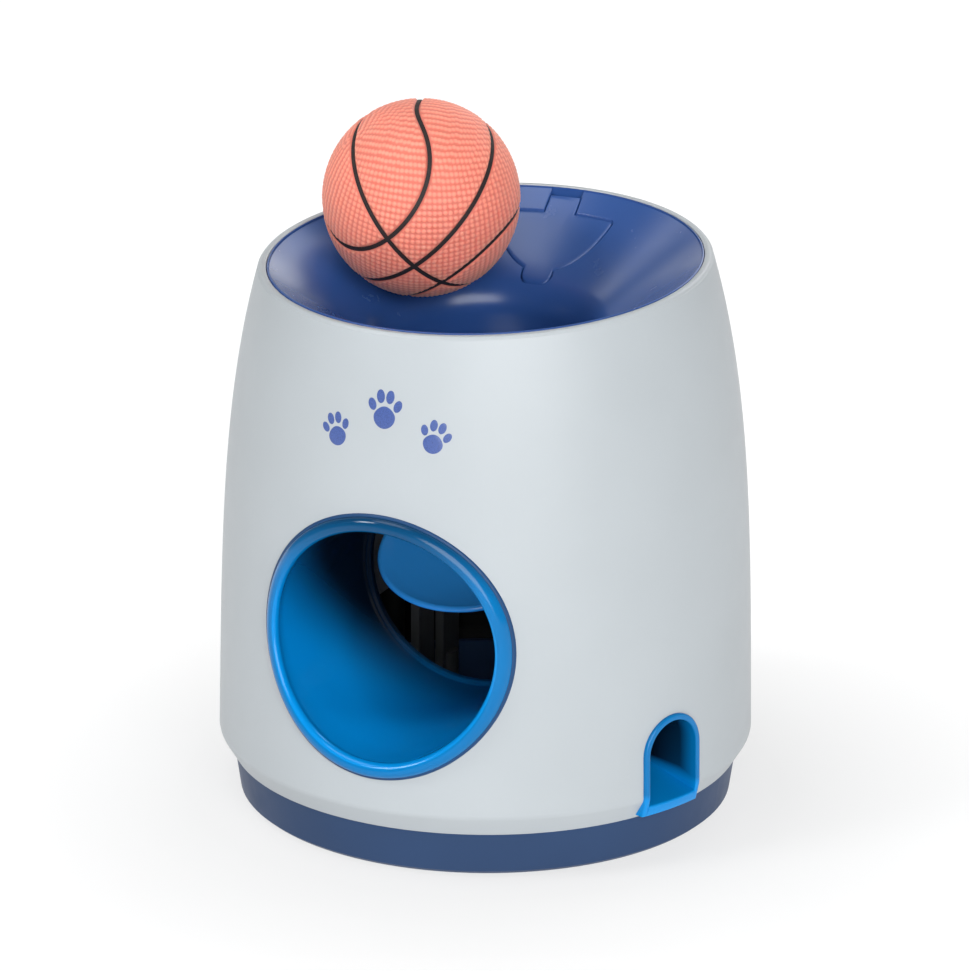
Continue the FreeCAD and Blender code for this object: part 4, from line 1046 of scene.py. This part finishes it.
def exit_tunnel():
    """Tunnel with its top cut open under the ball hood, painted shade in its bore and on its lip, and a thin dark
    ring of painted shade about its lip.
    """
    tube = wrapped_ring("tunnel_tube", tunnel_profile())
    hood = arc2((0, HOOD_MIDDLE), HOOD_R, 0, 180, 32)
    hood += arc2((0, HOOD_MIDDLE - HOOD_FORWARD), HOOD_R, 180, 360, 32)
    combine(tube, [prism("cut", hood, TUNNEL_Z + TUNNEL_R / 2, 150, along_z)], "DIFFERENCE")
    # Painted shade: the bore darkens towards its inner end and higher up, and the lip takes a lighter painted
    # shade.
    points = vertex_array(tube)
    depth = points[:, 1] + CASING_R + BORE_TILT * (points[:, 2] - TUNNEL_Z)
    lip = np.hypot(points[:, 0], points[:, 2] - TUNNEL_Z) > TUNNEL_R + 0.2
    point_values(tube, "painted_shade", np.maximum(smooth_step(depth, BORE_BRIGHT, BORE_DARK), EDGE_SHADE * lip))
    finish_piece(tube, "tunnel_blue", replaces=["exit_tunnel"], angle=40.0, material="tunnel_blue_painted_shade")
    # Thin dark ring about the lip: painted shade along its outer edge.
    seat = rolled(SHADE_RING_R, SHADE_RING_ROLL, 0.0, 0, 180, 8)
    seat += [(SHADE_RING_R + side * SHADE_RING_ROLL, None, -SHADE_RING_DEPTH) for side in (-1, 1)]
    finish_piece(wrapped_ring("lip_shade_ring", seat), "dish_navy", angle=60.0, material="lip_shade_navy")


# Dish

def wall_radius(a, up, inset):
    """Radius in the dish's own frame where it meets the casing's inner wall, less an inset."""
    r = RIM_R
    for _ in range(6):
        spot = dish_point(r * math.cos(a), r * math.sin(a), up)
        r += casing_radius(spot.z) - CASING_WALL - DISH_EDGE_GAP - inset - math.hypot(spot.x, spot.y)
    return r


def dish_section(a):
    """Closed section of the dish in a direction of its own frame; its edge follows the casing's wall."""
    edge = DISH_EDGE_ROUND
    rim = wall_radius(a, 0, 0)
    top_end = rim - edge * 1.6
    section = [(wall_radius(a, -DISH_EDGE_DEPTH, DISH_WALL), -DISH_EDGE_DEPTH)]
    section += [(wall_radius(a, up, 0), up) for up in (-DISH_EDGE_DEPTH, -DISH_EDGE_DEPTH / 2)]
    section += arc2((rim - edge, -edge), edge, 0, 110, 5)
    for k in range(25):
        r = min(RIM_R - (RIM_R - ROUND_U + THROAT_ROUND * math.sin(CONE)) * k / 24, top_end)
        section.append((r, dish_rise(r, 0.0)))
    steep = 90 + math.degrees(CONE)
    section += arc2((ROUND_U, ROUND_W), THROAT_ROUND, steep, 180, 18)[1:]
    middle = ROUND_W - THROAT_SKIRT / 2
    bottom = ROUND_W - THROAT_SKIRT
    outer = THROAT_R + DISH_WALL
    section += [(THROAT_R, middle), (THROAT_R, bottom + 0.4), (THROAT_R + SKIRT_EDGE, bottom)]
    section += [(outer - SKIRT_EDGE, bottom), (outer, bottom + 0.4), (outer, middle)]
    section += arc2((ROUND_U, ROUND_W), THROAT_ROUND - DISH_WALL, 180, steep, 10)
    start = section[-1][0]
    end = wall_radius(a, -DISH_EDGE_DEPTH / 2, DISH_WALL)
    for k in range(1, 9):
        r = start + (end - start) * k / 8
        section.append((r, dish_rise(r, DISH_WALL)))
    return section


def funnel_dish():
    """Dish with the recess, window, notch and barrel seat of the lid."""
    rings = []
    for i in range(DISH_COLUMNS):
        a = FULL_TURN * i / DISH_COLUMNS
        rings.append([dish_point(r * math.cos(a), r * math.sin(a), up) for r, up in dish_section(a)])
    dish = net("dish_funnel", rings)
    half = TONGUE_HALF
    notch = [(-half, LID_Y - 5), (half, LID_Y - 5), (half, NOTCH_END), (-half, NOTCH_END)]
    tools = [
        outline_block("recess", lid_outline(0.0), LID_T + LID_SEAT, RECESS_FLARE),
        outline_block("window", plan_outline(-LID_LEDGE), DISH_WALL + 6, 0.0),
        prism("notch", notch, HINGE.z - KNUCKLE_R / 2, CASING_H + 60, along_z),
        rod_x("barrel", HINGE, KNUCKLE_R + LID_GAP, -half, half, 32),
    ]
    combine(dish, tools, "DIFFERENCE")
    finish_piece(dish, "dish_navy", replaces=["funnel_dish"], angle=32.0)


def outline_block(name, outline, depth, flare):
    """Cutter that follows the dish's surface: its floor a depth below, its top edge flared by a little."""
    levels = [(0.0, depth), (0.0, flare), (flare, 0.0), (flare, -3.0)]
    if not flare:
        levels = [(0.0, depth), (0.0, -3.0)]
    rings = [on_dish(offset_outline(outline, grow), down) for grow, down in levels]
    return net(name, rings, loop=False)


# Treat lid

def eased_sides(grow):
    """Right half of the lid's plan: its front circle, an eased corner, and its back circle about the dish."""
    r = LID_R + grow
    back_r = LID_BACK_R + grow
    q = max(CORNER_ROUND + grow, CORNER_LEAST)
    gap = LID_Y - DISH_Y
    cy = DISH_Y + (gap ** 2 + (back_r - q) ** 2 - (r - q) ** 2) / (2 * gap)
    cx = math.sqrt((back_r - q) ** 2 - (cy - DISH_Y) ** 2)
    a = math.degrees(math.atan2(cy - LID_Y, cx))
    b = math.degrees(math.atan2(cy - DISH_Y, cx))
    return (r, a), ((cx, cy), q), (back_r, b)


def mirrored_outline(side):
    return side + [(-x, y) for x, y in reversed(side)]


def plan_outline(grow):
    """Outline of the lid's round plan, without tab and tongue, which turns left."""
    (r, a), (corner, q), (back_r, b) = eased_sides(grow)
    side = arc2((0, LID_Y), r, -88, a, 26) + arc2(corner, q, a, b, 5)[1:]
    side += arc2((0, DISH_Y), back_r, b, 88, 12)[1:]
    return mirrored_outline(side)


def lid_outline(grow):
    """Outline of the lid with finger tab and hinge tongue, which turns left."""
    (r, a), (corner, q), (back_r, b) = eased_sides(grow)
    half = TAB_HALF + grow
    tip = LID_FRONT - TAB_L - grow
    meet = math.degrees(math.asin(half / r))
    tongue = TONGUE_HALF + grow
    c = math.degrees(math.acos(tongue / back_r))
    side = round_corner((0, tip), (half, tip), (half, tip + 10), TAB_ROUND, 5)
    side.append((half, (side[-1][1] + LID_FRONT) / 2))
    side += arc2((0, LID_Y), r, -90 + meet, a, 26)
    side += arc2(corner, q, a, b, 5)[1:]
    side += arc2((0, DISH_Y), back_r, b, c, 8)[1:]
    side.append((tongue, (side[-1][1] + TONGUE_END) / 2))
    side.append((tongue, TONGUE_END))
    return mirrored_outline(side)


def shell_rings(outline, centre, shares, depth):
    """Rings over the dish's surface that shrink to a centre."""
    cx, cy = centre
    rings = []
    for share in shares:
        shrunk = [(cx + (x - cx) * share, cy + (y - cy) * share) for x, y in outline]
        rings.append(on_dish(shrunk, depth))
    return rings


def lid_rib():
    """Stiffening rib across the lid's underside."""
    y = LID_FRONT + LID_R * 0.35
    half = LID_R * 0.55
    low = LID_T + LID_RIB_H
    rings = []
    for k in range(13):
        x = -half + 2 * half * k / 12
        corners = ((y, LID_T / 2), (y, low), (y + LID_RIB_T, low), (y + LID_RIB_T, LID_T / 2))
        rings.append([Vector((x, spot, dish_height(x, spot, down))) for spot, down in corners])
    return net("rib", rings, loop=False)


def hopper_lid():
    """Lid that follows the dish's surface, with its tab, rib and hinge knuckle."""
    outline = lid_outline(-LID_GAP)
    edge = LID_EDGE_ROUND
    centre = (0.0, LID_FRONT + 8)
    inset = offset_outline(outline, -edge)
    shares = [1 - 0.96 * (k / 14) for k in range(15)]
    rings = list(reversed(shell_rings(inset, centre, shares, 0.0)))
    for grow, down in ((-edge * 0.3, edge * 0.3), (0.0, edge), (0.0, LID_T - edge), (-edge, LID_T)):
        rings.append(on_dish(offset_outline(outline, grow), down))
    rings += shell_rings(inset, centre, shares[1:], LID_T)
    plate = net("treat_lid", rings, loop=False)
    half = TONGUE_HALF - LID_GAP
    knuckle = rod_x("knuckle", HINGE, KNUCKLE_R, -half, half, 40, KNUCKLE_EDGE)
    combine(plate, [knuckle, lid_rib()], "UNION")
    combine(plate, [rod_x("pin_hole", HINGE, PIN_HOLE_R, -20, 20, 24)], "DIFFERENCE")
    finish_piece(plate, "dish_navy", "lid", ["hopper_lid"])


# Posts inside, and the screws in them

def direction(degrees):
    """Unit vector in plan, turned from the front towards +X."""
    a = math.radians(degrees)
    return Vector((math.sin(a), -math.cos(a), 0))


def web(spot, degrees, low, high, reach):
    """Flat web from a post outwards to the casing's wall."""
    out, side = direction(degrees), direction(degrees + 90)
    corners = [(0, -WEB_HALF), (reach, -WEB_HALF), (reach, WEB_HALF), (0, WEB_HALF)]

    def place(a, b, h):
        return Vector((spot.x, spot.y, h)) + out * a + side * b

    return prism("web", corners, low, high, place)


def bored(post, spot, low, high):
    """Cuts the pilot hole of a screw into a post."""
    return combine(post, [rod_z("pilot", spot, PILOT_R, low, high, 24)], "DIFFERENCE")


def shell_posts():
    """Columns for the base screws and lugs for the dish screws, each tied to the wall by a web."""
    columns = (COLUMN_DIRECTIONS, COLUMN_RING, POST_R, COLUMN_LOW, COLUMN_HIGH, WEB_RISE, -HOLE_FLOOR)
    lugs = (LUG_DIRECTIONS, LUG_RING, LUG_R, LUG_LOW, LUG_HIGH, 0, HOLE_PAST)
    pieces = []
    for directions, ring, r, low, high, web_rise, hole_rise in (columns, lugs):
        reach = casing_radius(high) - CASING_WALL - ring
        for degrees in directions:
            spot = direction(degrees) * ring
            post = rod_z("post", spot, r, low, high, POST_STEPS, POST_EDGE)
            pieces.append(bored(post, spot, low - HOLE_PAST, high + hole_rise))
            pieces.append(web(spot, degrees, low + web_rise, high, reach))
    # The posts take the casing's near-black painted shade.
    finish_piece(joined("shell_posts", pieces), "casing_grey", material="casing_inside_painted_shade")


def dish_posts():
    """Posts under the dish that take its screws; their tops end inside its wall."""
    pieces = []
    for degrees in LUG_DIRECTIONS:
        spot = direction(degrees) * LUG_RING
        ring = circle_outline(spot.x, spot.y, POST_R, POST_STEPS)
        foot = [Vector((x, y, LUG_HIGH)) for x, y in ring]
        post = net("post", [foot, on_dish(ring, DISH_WALL * 0.7)], loop=False)
        pieces.append(bored(post, spot, LUG_HIGH - HOLE_PAST, LUG_HIGH + DISH_HOLE))
    finish_piece(joined("dish_posts", pieces), "dish_navy")


def tunnel_posts():
    """Posts under the tunnel that take its screws; their tops end inside its wall."""
    bottom = TUNNEL_Z - TUNNEL_R - TUNNEL_WALL
    pieces = []
    for y in TUNNEL_POSTS:
        spot = Vector((0, y, 0))
        post = rod_z("post", spot, POST_R, TUNNEL_POST_LOW, bottom + TUNNEL_WALL / 2, POST_STEPS, POST_EDGE)
        pieces.append(bored(post, spot, TUNNEL_POST_LOW - HOLE_PAST, bottom))
    finish_piece(joined("tunnel_posts", pieces), "tunnel_blue")


def screw_head(spot, seat):
    """Pan head with a cross recess, which stands head down under its seat."""
    profile = [(0.0, -HEAD_H), (HEAD_TOP_R - 0.5, -HEAD_H), (HEAD_TOP_R - 0.15, -HEAD_H + 0.1)]
    profile += [(HEAD_TOP_R, -HEAD_H + 0.35), (HEAD_R, -0.25), (HEAD_R - 0.12, 0.0), (0.0, 0.0)]
    head = solid_disc("head", profile, 48, lambda p: Vector((spot.x + p.x, spot.y + p.y, seat + p.z)))
    face = seat - HEAD_H
    arms = []
    for u, v in ((RECESS_REACH, RECESS_HALF), (RECESS_HALF, RECESS_REACH)):
        cross = [(spot.x + x * u, spot.y + y * v) for x, y in ((-1, -1), (1, -1), (1, 1), (-1, 1))]
        arms.append(prism("arm", cross, face - 1, face + RECESS_DEPTH, along_z))
    return combine(head, arms, "DIFFERENCE")


def screw_thread(spot, seat, length):
    """Helical thread from a seat upwards, which ends in a point."""
    rows = int(length / THREAD_PITCH * 6)
    rings = []
    for k in range(rows + 1):
        z = length * k / rows
        taper = max(min(1.0, (length - z) / THREAD_POINT), 0.15)
        ring = []
        for j in range(THREAD_STEPS):
            turn = j / THREAD_STEPS
            a = FULL_TURN * turn
            crest = abs(((z / THREAD_PITCH + turn) % 1) * 2 - 1)
            r = (THREAD_R - THREAD_DEPTH + THREAD_DEPTH * crest) * taper
            ring.append(Vector((spot.x + r * math.cos(a), spot.y + r * math.sin(a), seat - 0.1 + z)))
        rings.append(ring)
    return net("thread", rings, loop=False)


def screws():
    """The four groups of screws, each in the holes of its node."""
    corners = [Vector((x, y, 0)) for x in (-FRAME_SCREW_X, FRAME_SCREW_X) for y in FRAME_SCREW_Y]
    groups = (
        ("base", [direction(d) * COLUMN_RING for d in COLUMN_DIRECTIONS], BASE_SEAT, BASE_SCREW_L),
        ("funnel", [direction(d) * LUG_RING for d in LUG_DIRECTIONS], LUG_LOW, DISH_SCREW_L),
        ("tunnel", [Vector((0, y, 0)) for y in TUNNEL_POSTS], TUNNEL_SEAT, TUNNEL_SCREW_L),
        ("frame", corners, FRAME_SEAT, FRAME_SCREW_L),
    )
    for name, spots, seat, length in groups:
        pieces = []
        for spot in spots:
            pieces += [screw_head(spot, seat), screw_thread(spot, seat, length)]
        node = name + "_screws"
        finish_piece(joined("steel_" + node, pieces), "screw_steel", replaces=[node], angle=28.0)


# Paddle

def on_paddle(p):
    """Moves a point from the paddle's own level frame, disc centre at the origin, to its place at rest."""
    tilted = Matrix.Rotation(PADDLE_TILT, 3, "X") @ (Vector(p) - Vector((0, PADDLE_ARM, 0)))
    return tilted + Vector((0, PADDLE_AXIS.y, PADDLE_AXIS.z))


def paddle_disc():
    """Dished disc with a rounded bead."""
    edge_r = PADDLE_R - PADDLE_BEAD
    shares = [k / PADDLE_STEPS for k in range(PADDLE_STEPS + 1)]
    upper = [(edge_r * share, -PADDLE_DISH * (1 - share ** 2)) for share in shares]
    bead = arc2((PADDLE_R - BEAD_HALF, 0.0), BEAD_HALF, 125, -90, 12)
    lower = [(r, min(z - PADDLE_T, -BEAD_HALF)) for r, z in reversed(upper)]
    return solid_disc("tipping_paddle", upper[:-1] + bead + lower[1:], 144, on_paddle)


def paddle_arm():
    """Flat arm from the disc to the hub, with a rib along each side."""
    root = PADDLE_R - PADDLE_DISH
    low = -PADDLE_T - ARM_RIB_H
    outline = [(-ARM_HALF, root), (ARM_HALF, root), (ARM_HALF, PADDLE_ARM), (-ARM_HALF, PADDLE_ARM)]
    parts = [prism("arm", outline, -PADDLE_T, 0, lambda x, y, z: on_paddle((x, y, z)), ARM_EDGE)]
    rib = [(root, 0.0), (root, -PADDLE_T - ARM_RIB_H * 0.4), (root + ARM_RIB_RUN, low)]
    rib += [(PADDLE_ARM, low), (PADDLE_ARM, 0.0)]
    for x in (-ARM_HALF, ARM_HALF - ARM_RIB_T):
        parts.append(prism("rib", rib, x, x + ARM_RIB_T, lambda y, z, h: on_paddle((h, y, z)), RIB_EDGE))
    return parts


def weight_holder():
    """Cup of the counterweight, and the tail that carries it on the hub."""
    low = WEIGHT_LOW.x - WEIGHT_CUP
    reach = WEIGHT_MIDDLE.y - PADDLE_AXIS.y
    drop = WEIGHT_MIDDLE.z - PADDLE_AXIS.z
    length = math.hypot(reach, drop)

    def tail_point(along, across, x):
        y = PADDLE_AXIS.y + (reach * along - drop * across) / length
        z = PADDLE_AXIS.z + (drop * along + reach * across) / length
        return Vector((x, y, z))

    outline = [(0, -TAIL_HALF), (TAIL_L, -TAIL_HALF), (TAIL_L, TAIL_HALF), (0, TAIL_HALF)]
    cup = rod_x("cup", WEIGHT_MIDDLE, WEIGHT_R + WEIGHT_CUP, low, WEIGHT_HIGH.x, 72, HUB_EDGE)
    return [cup, prism("tail", outline, low, low + TAIL_T, tail_point, RIB_EDGE)]


def paddle():
    """Paddle in one piece with its arm, hub and the holder of its counterweight."""
    disc = paddle_disc()
    hub = rod_x("hub", PADDLE_AXIS, HUB_R, *PADDLE_SPAN, 64, HUB_EDGE)
    combine(disc, paddle_arm() + [hub] + weight_holder(), "UNION")
    pocket = rod_x("pocket", WEIGHT_MIDDLE, WEIGHT_R + WEIGHT_PLAY, WEIGHT_LOW.x, WEIGHT_HIGH.x + 4, 72)
    bore = rod_x("bore", PADDLE_AXIS, SHAFT_HOLE_R, -60, 60, 48)
    combine(disc, [pocket, bore], "DIFFERENCE")
    finish_piece(disc, "paddle_blue", "paddle", ["paddle"])


# Ball

def ball_frame():
    """Three unit vectors: along the crossing of the great circles, across the main one, across the other."""
    cross = SEAM_CROSS.normalized()
    main = (SEAM_MAIN - SEAM_MAIN.dot(cross) * cross).normalized()
    pole = main.cross(cross)
    return pole, main, cross


def seam_curves():
    """The four seams as functions of a turn: two great circles, and two ovals that lean away from one."""
    pole, main, cross = ball_frame()

    def main_circle(a):
        return pole * math.cos(a) + cross * math.sin(a)

    def cross_circle(a):
        return pole * math.cos(a) + main * math.sin(a)

    def oval(side):
        def curve(a):
            lean = OVAL_LEAN + sum(c * math.cos(n * a) + s * math.sin(n * a) for n, c, s in OVAL_WAVES)
            lean = math.radians(lean) * side
            return cross_circle(a) * math.cos(lean) + cross * math.sin(lean)
        return curve

    return [main_circle, cross_circle, oval(1), oval(-1)]


def nearest_seam(directions):
    """Distance in millimetres from each direction on the ball to the nearest seam."""
    samples, block = 720, 4000
    nearest = np.full(len(directions), BALL_R * math.pi)
    for curve in seam_curves():
        seam = np.array([curve(FULL_TURN * i / samples) for i in range(samples)])
        for start in range(0, len(directions), block):
            part = slice(start, start + block)
            best = (directions[part] @ seam.T).max(axis=1)
            nearest[part] = np.minimum(nearest[part], np.arccos(np.clip(best, -1, 1)) * BALL_R)
    return nearest


def pebble_height(directions):
    """Height from 0 to 1 of the pebbles, in rows about the ball's pole, each row half a pitch on."""
    pole, main, cross = (np.array(v) for v in ball_frame())
    polar = np.arccos(np.clip(directions @ cross, -1, 1))
    turn = np.arctan2(directions @ main, directions @ pole)
    pitch = PEBBLE_PITCH / BALL_R
    row = np.round(polar / (pitch * 0.5))
    height = np.zeros(len(directions))
    for step in (-1, 0, 1):
        line = row + step
        middle = line * pitch * 0.5
        count = np.maximum(np.round(FULL_TURN * np.sin(np.clip(middle, 0, math.pi)) / pitch), 1)
        shift = np.where(line % 2 == 0, 0.0, 0.5)
        cell = turn / FULL_TURN * count + shift
        side = (cell - np.round(cell)) * FULL_TURN / count * np.sin(polar)
        gap = np.hypot(side, polar - middle) / pitch
        height = np.maximum(height, np.clip(1 - (gap / PEBBLE_SHARE) ** 2, 0, 1))
    return height


def cube_sphere(grid):
    """Directions and quads of a sphere made from a cube's six faces, evened out."""
    line = np.tan(np.linspace(-math.pi / 4, math.pi / 4, grid + 1))
    index = {}
    directions, faces = [], []
    axes = [np.array(v, float) for v in ((1, 0, 0), (0, 1, 0), (0, 0, 1))]
    for axis in range(3):
        for side in (1, -1):
            n = axes[axis] * side
            u = axes[(axis + 1) % 3]
            v = axes[(axis + 2) % 3] * side
            keys = {}
            for i, a in enumerate(line):
                for j, b in enumerate(line):
                    p = n + u * a + v * b
                    key = tuple(np.round(p, 6))
                    if key not in index:
                        index[key] = len(directions)
                        directions.append(p / np.linalg.norm(p))
                    keys[i, j] = index[key]
            for i in range(grid):
                for j in range(grid):
                    faces.append((keys[i, j], keys[i + 1, j], keys[i + 1, j + 1], keys[i, j + 1]))
    return np.array(directions), faces


def rubber_ball():
    """Ball with grooves along its seams and pebbles between them."""
    directions, faces = cube_sphere(BALL_GRID)
    gap = nearest_seam(directions)
    groove = 1 - smooth_step(gap, SEAM_W * 0.5, SEAM_W * 0.95)
    pebble = pebble_height(directions) * smooth_step(gap, SEAM_W * 0.75, SEAM_W * 1.15)
    radius = BALL_R - PEBBLE_H + PEBBLE_H * pebble - SEAM_DEPTH * groove
    ball = mesh_object("rubber_ball", directions * radius[:, None] + np.array(BALL_CENTRE), faces)
    point_values(ball, "pebble", pebble)
    finish_piece(ball, "ball_rubber", "ball", ["ball"], angle=80.0)


def ball_seams():
    """Painted bands that lie in the grooves of the ball."""
    section = [(-0.5, 0.0), (-0.25, -SEAM_CROWN), (0.25, -SEAM_CROWN), (0.5, 0.0)]
    section += [(0.5, SEAM_T), (-0.5, SEAM_T)]
    for number, curve in enumerate(seam_curves(), 1):
        rings = []
        for i in range(SEAM_STEPS):
            a = FULL_TURN * i / SEAM_STEPS
            here = curve(a).normalized()
            ahead = (curve(a + 0.01) - curve(a - 0.01)).normalized()
            side = here.cross(ahead).normalized()
            ring = []
            for across, sink in section:
                spot = (here + side * (across * SEAM_W / BALL_R)).normalized()
                ring.append(BALL_CENTRE + spot * (BALL_R - PEBBLE_H - SEAM_SINK - sink))
            rings.append(ring)
        finish_piece(net("ball_seam_%d" % number, rings), "ball_rubber", "ball", material="seam_paint")


# Print on the casing's front

def turned_pair(x, z, lean):
    """A place in the print's plane, turned by an angle."""
    return x * math.cos(lean) - z * math.sin(lean), x * math.sin(lean) + z * math.cos(lean)


def casing_spot(across, z, out):
    """Point on the casing at a distance round it from the front, and at a height."""
    r = outline_radius(z) + out
    a = across / outline_radius(PRINT_Z)
    return Vector((r * math.sin(a), -r * math.cos(a), z))


def paw_pad(cx, cz, rx, rz, lean, heel):
    """Thin printed pad, sunk a little into the casing; the heel pad draws in below."""
    levels = [(share, PRINT_OUT) for share in (PAD_CENTRE, 0.5, 0.97)]
    levels += [(1.0, PRINT_OUT / 2), (1.0, -PRINT_ROOT)]
    rings = []
    for share, out in levels:
        ring = []
        for i in range(PAD_STEPS):
            a = FULL_TURN * i / PAD_STEPS
            x = math.cos(a) * rx * share
            z = math.sin(a) * rz * share
            if heel:
                x *= 1 - HEEL_NARROWS * math.sin(a)
                z += rz * HEEL_ARCH * share * (math.cos(2 * a) - 1) * (math.sin(a) < 0)
            u, w = turned_pair(x, z, lean)
            ring.append(casing_spot(cx + u, cz + w, out))
        rings.append(ring)
    root = casing_spot(cx, cz, -PRINT_ROOT)
    rings.append([root + (p - root) * PAD_CENTRE for p in rings[-1]])
    return net("pad", rings, loop=False)


def paw_trail():
    """Three paw marks that climb and fall along the casing's front."""
    for number, (across, rise, size, lean) in enumerate(PAWS, 1):
        pads = []
        for k, (px, pz, rx, rz, tilt) in enumerate(PAW_PADS):
            u, w = turned_pair(px, pz, lean)
            cx, cz = across + u * size, PRINT_Z + rise + w * size
            pads.append(paw_pad(cx, cz, rx * size, rz * size, tilt + lean, k == 0))
        finish_piece(joined("paw_mark_%d" % number, pads), "dish_navy", material="print_ink")


# Studio

def floor():
    """Pale floor that glows a little, less so near the toy, where the dip in its glow paints a soft contact
    shadow.
    """
    h = FLOOR_HALF
    piece = mesh_object("studio_floor", [(-h, -h, 0), (h, -h, 0), (h, h, 0), (-h, h, 0)], [(0, 1, 2, 3)])
    s = Shader("studio_floor", 0.7)
    cloud = s.ranged(s.noise(300.0, 2.0), 0.0, 1.0)
    s.feed("Base Color", s.mixed(cloud, linear(122, 123, 124), linear(126, 126, 126)))
    away = s.node("ShaderNodeVectorMath", operation="LENGTH")
    s.link(s.place, away.inputs[0])
    glow = s.ranged(away.outputs["Value"], FLOOR_GLOW - GLOW_DIP, FLOOR_GLOW, GLOW_NEAR * MM, GLOW_FAR * MM)
    s.feed("Emission Strength", glow)
    s.uniform({"Emission Color": (1.0, 1.0, 1.0, 1.0), "Specular IOR Level": 0.0})
    piece.data.materials.append(s.material)


def studio():
    """World light: a grey dome, paler towards the floor, with soft boxes as bright patches."""
    world = bpy.data.worlds.new("studio")
    bpy.context.scene.world = world
    s = Nodes(world)
    place = s.node("ShaderNodeTexCoord").outputs["Generated"]
    parts = s.node("ShaderNodeSeparateXYZ")
    s.link(place, parts.inputs[0])
    total = s.ranged(parts.outputs["Z"], SKY_LOW, SKY_TOP, 0.0, SKY_RISE)
    for turn, rise, half, soft, strength in SOFT_BOXES:
        a, e = math.radians(turn), math.radians(rise)
        toward = s.node("ShaderNodeVectorMath", operation="DOT_PRODUCT")
        toward.inputs[1].default_value = (math.sin(a) * math.cos(e), -math.cos(a) * math.cos(e), math.sin(e))
        s.link(place, toward.inputs[0])
        rim, core = math.cos(math.radians(half + soft)), math.cos(math.radians(half))
        lit = s.ranged(toward.outputs["Value"], 0.0, strength, rim, core, interpolation_type="SMOOTHSTEP")
        total = s.added(total, lit)
    background = s.tree.nodes["Background"]
    background.inputs["Color"].default_value = (1.0, 1.0, 1.0, 1.0)
    s.link(total, background.inputs["Strength"])


def throat_light():
    """Small light that stands for what falls through the throat onto the paddle."""
    data = bpy.data.lights.new("throat_light", "AREA")
    data.shape = "DISK"
    data.size = THROAT_LIGHT_SIZE * MM
    data.energy = THROAT_LIGHT_POWER
    piece = bpy.data.objects.new("throat_light", data)
    piece.location = Vector(THROAT_LIGHT) * MM
    piece.visible_camera = False
    bpy.context.scene.collection.objects.link(piece)


def camera():
    """Camera whose lens, shift and roll put the toy where the photograph has it."""
    data = bpy.data.cameras.new("camera")
    data.sensor_fit = "HORIZONTAL"
    data.sensor_width = SENSOR_W
    data.lens = FOCAL_PX * SENSOR_W / PHOTO_W
    data.shift_x = (PHOTO_W / 2 - TARGET_PX[0]) / PHOTO_W
    data.shift_y = (TARGET_PX[1] - PHOTO_H / 2) / PHOTO_W
    data.clip_start = 0.05
    data.clip_end = 30
    piece = bpy.data.objects.new("camera", data)
    bpy.context.scene.collection.objects.link(piece)
    back = Vector((
        math.sin(CAMERA_AZIMUTH) * math.cos(CAMERA_ELEVATION),
        -math.cos(CAMERA_AZIMUTH) * math.cos(CAMERA_ELEVATION),
        math.sin(CAMERA_ELEVATION),
    ))
    piece.location = (CAMERA_TARGET + back * CAMERA_DISTANCE) * MM
    look = (-back).to_track_quat("-Z", "Y")
    piece.rotation_euler = (look.to_matrix() @ Matrix.Rotation(CAMERA_ROLL, 3, "Z")).to_euler()
    bpy.context.scene.camera = piece


camera()
studio()
throat_light()
floor()
bpy.context.scene.view_settings.view_transform = "Standard"
repaint_nodes()
outer_shell()
base_ring()
funnel_dish()
hopper_lid()
exit_tunnel()
outlet_frame()
paddle()
shell_posts()
dish_posts()
tunnel_posts()
screws()
ease_nodes()
rubber_ball()
ball_seams()
paw_trail()
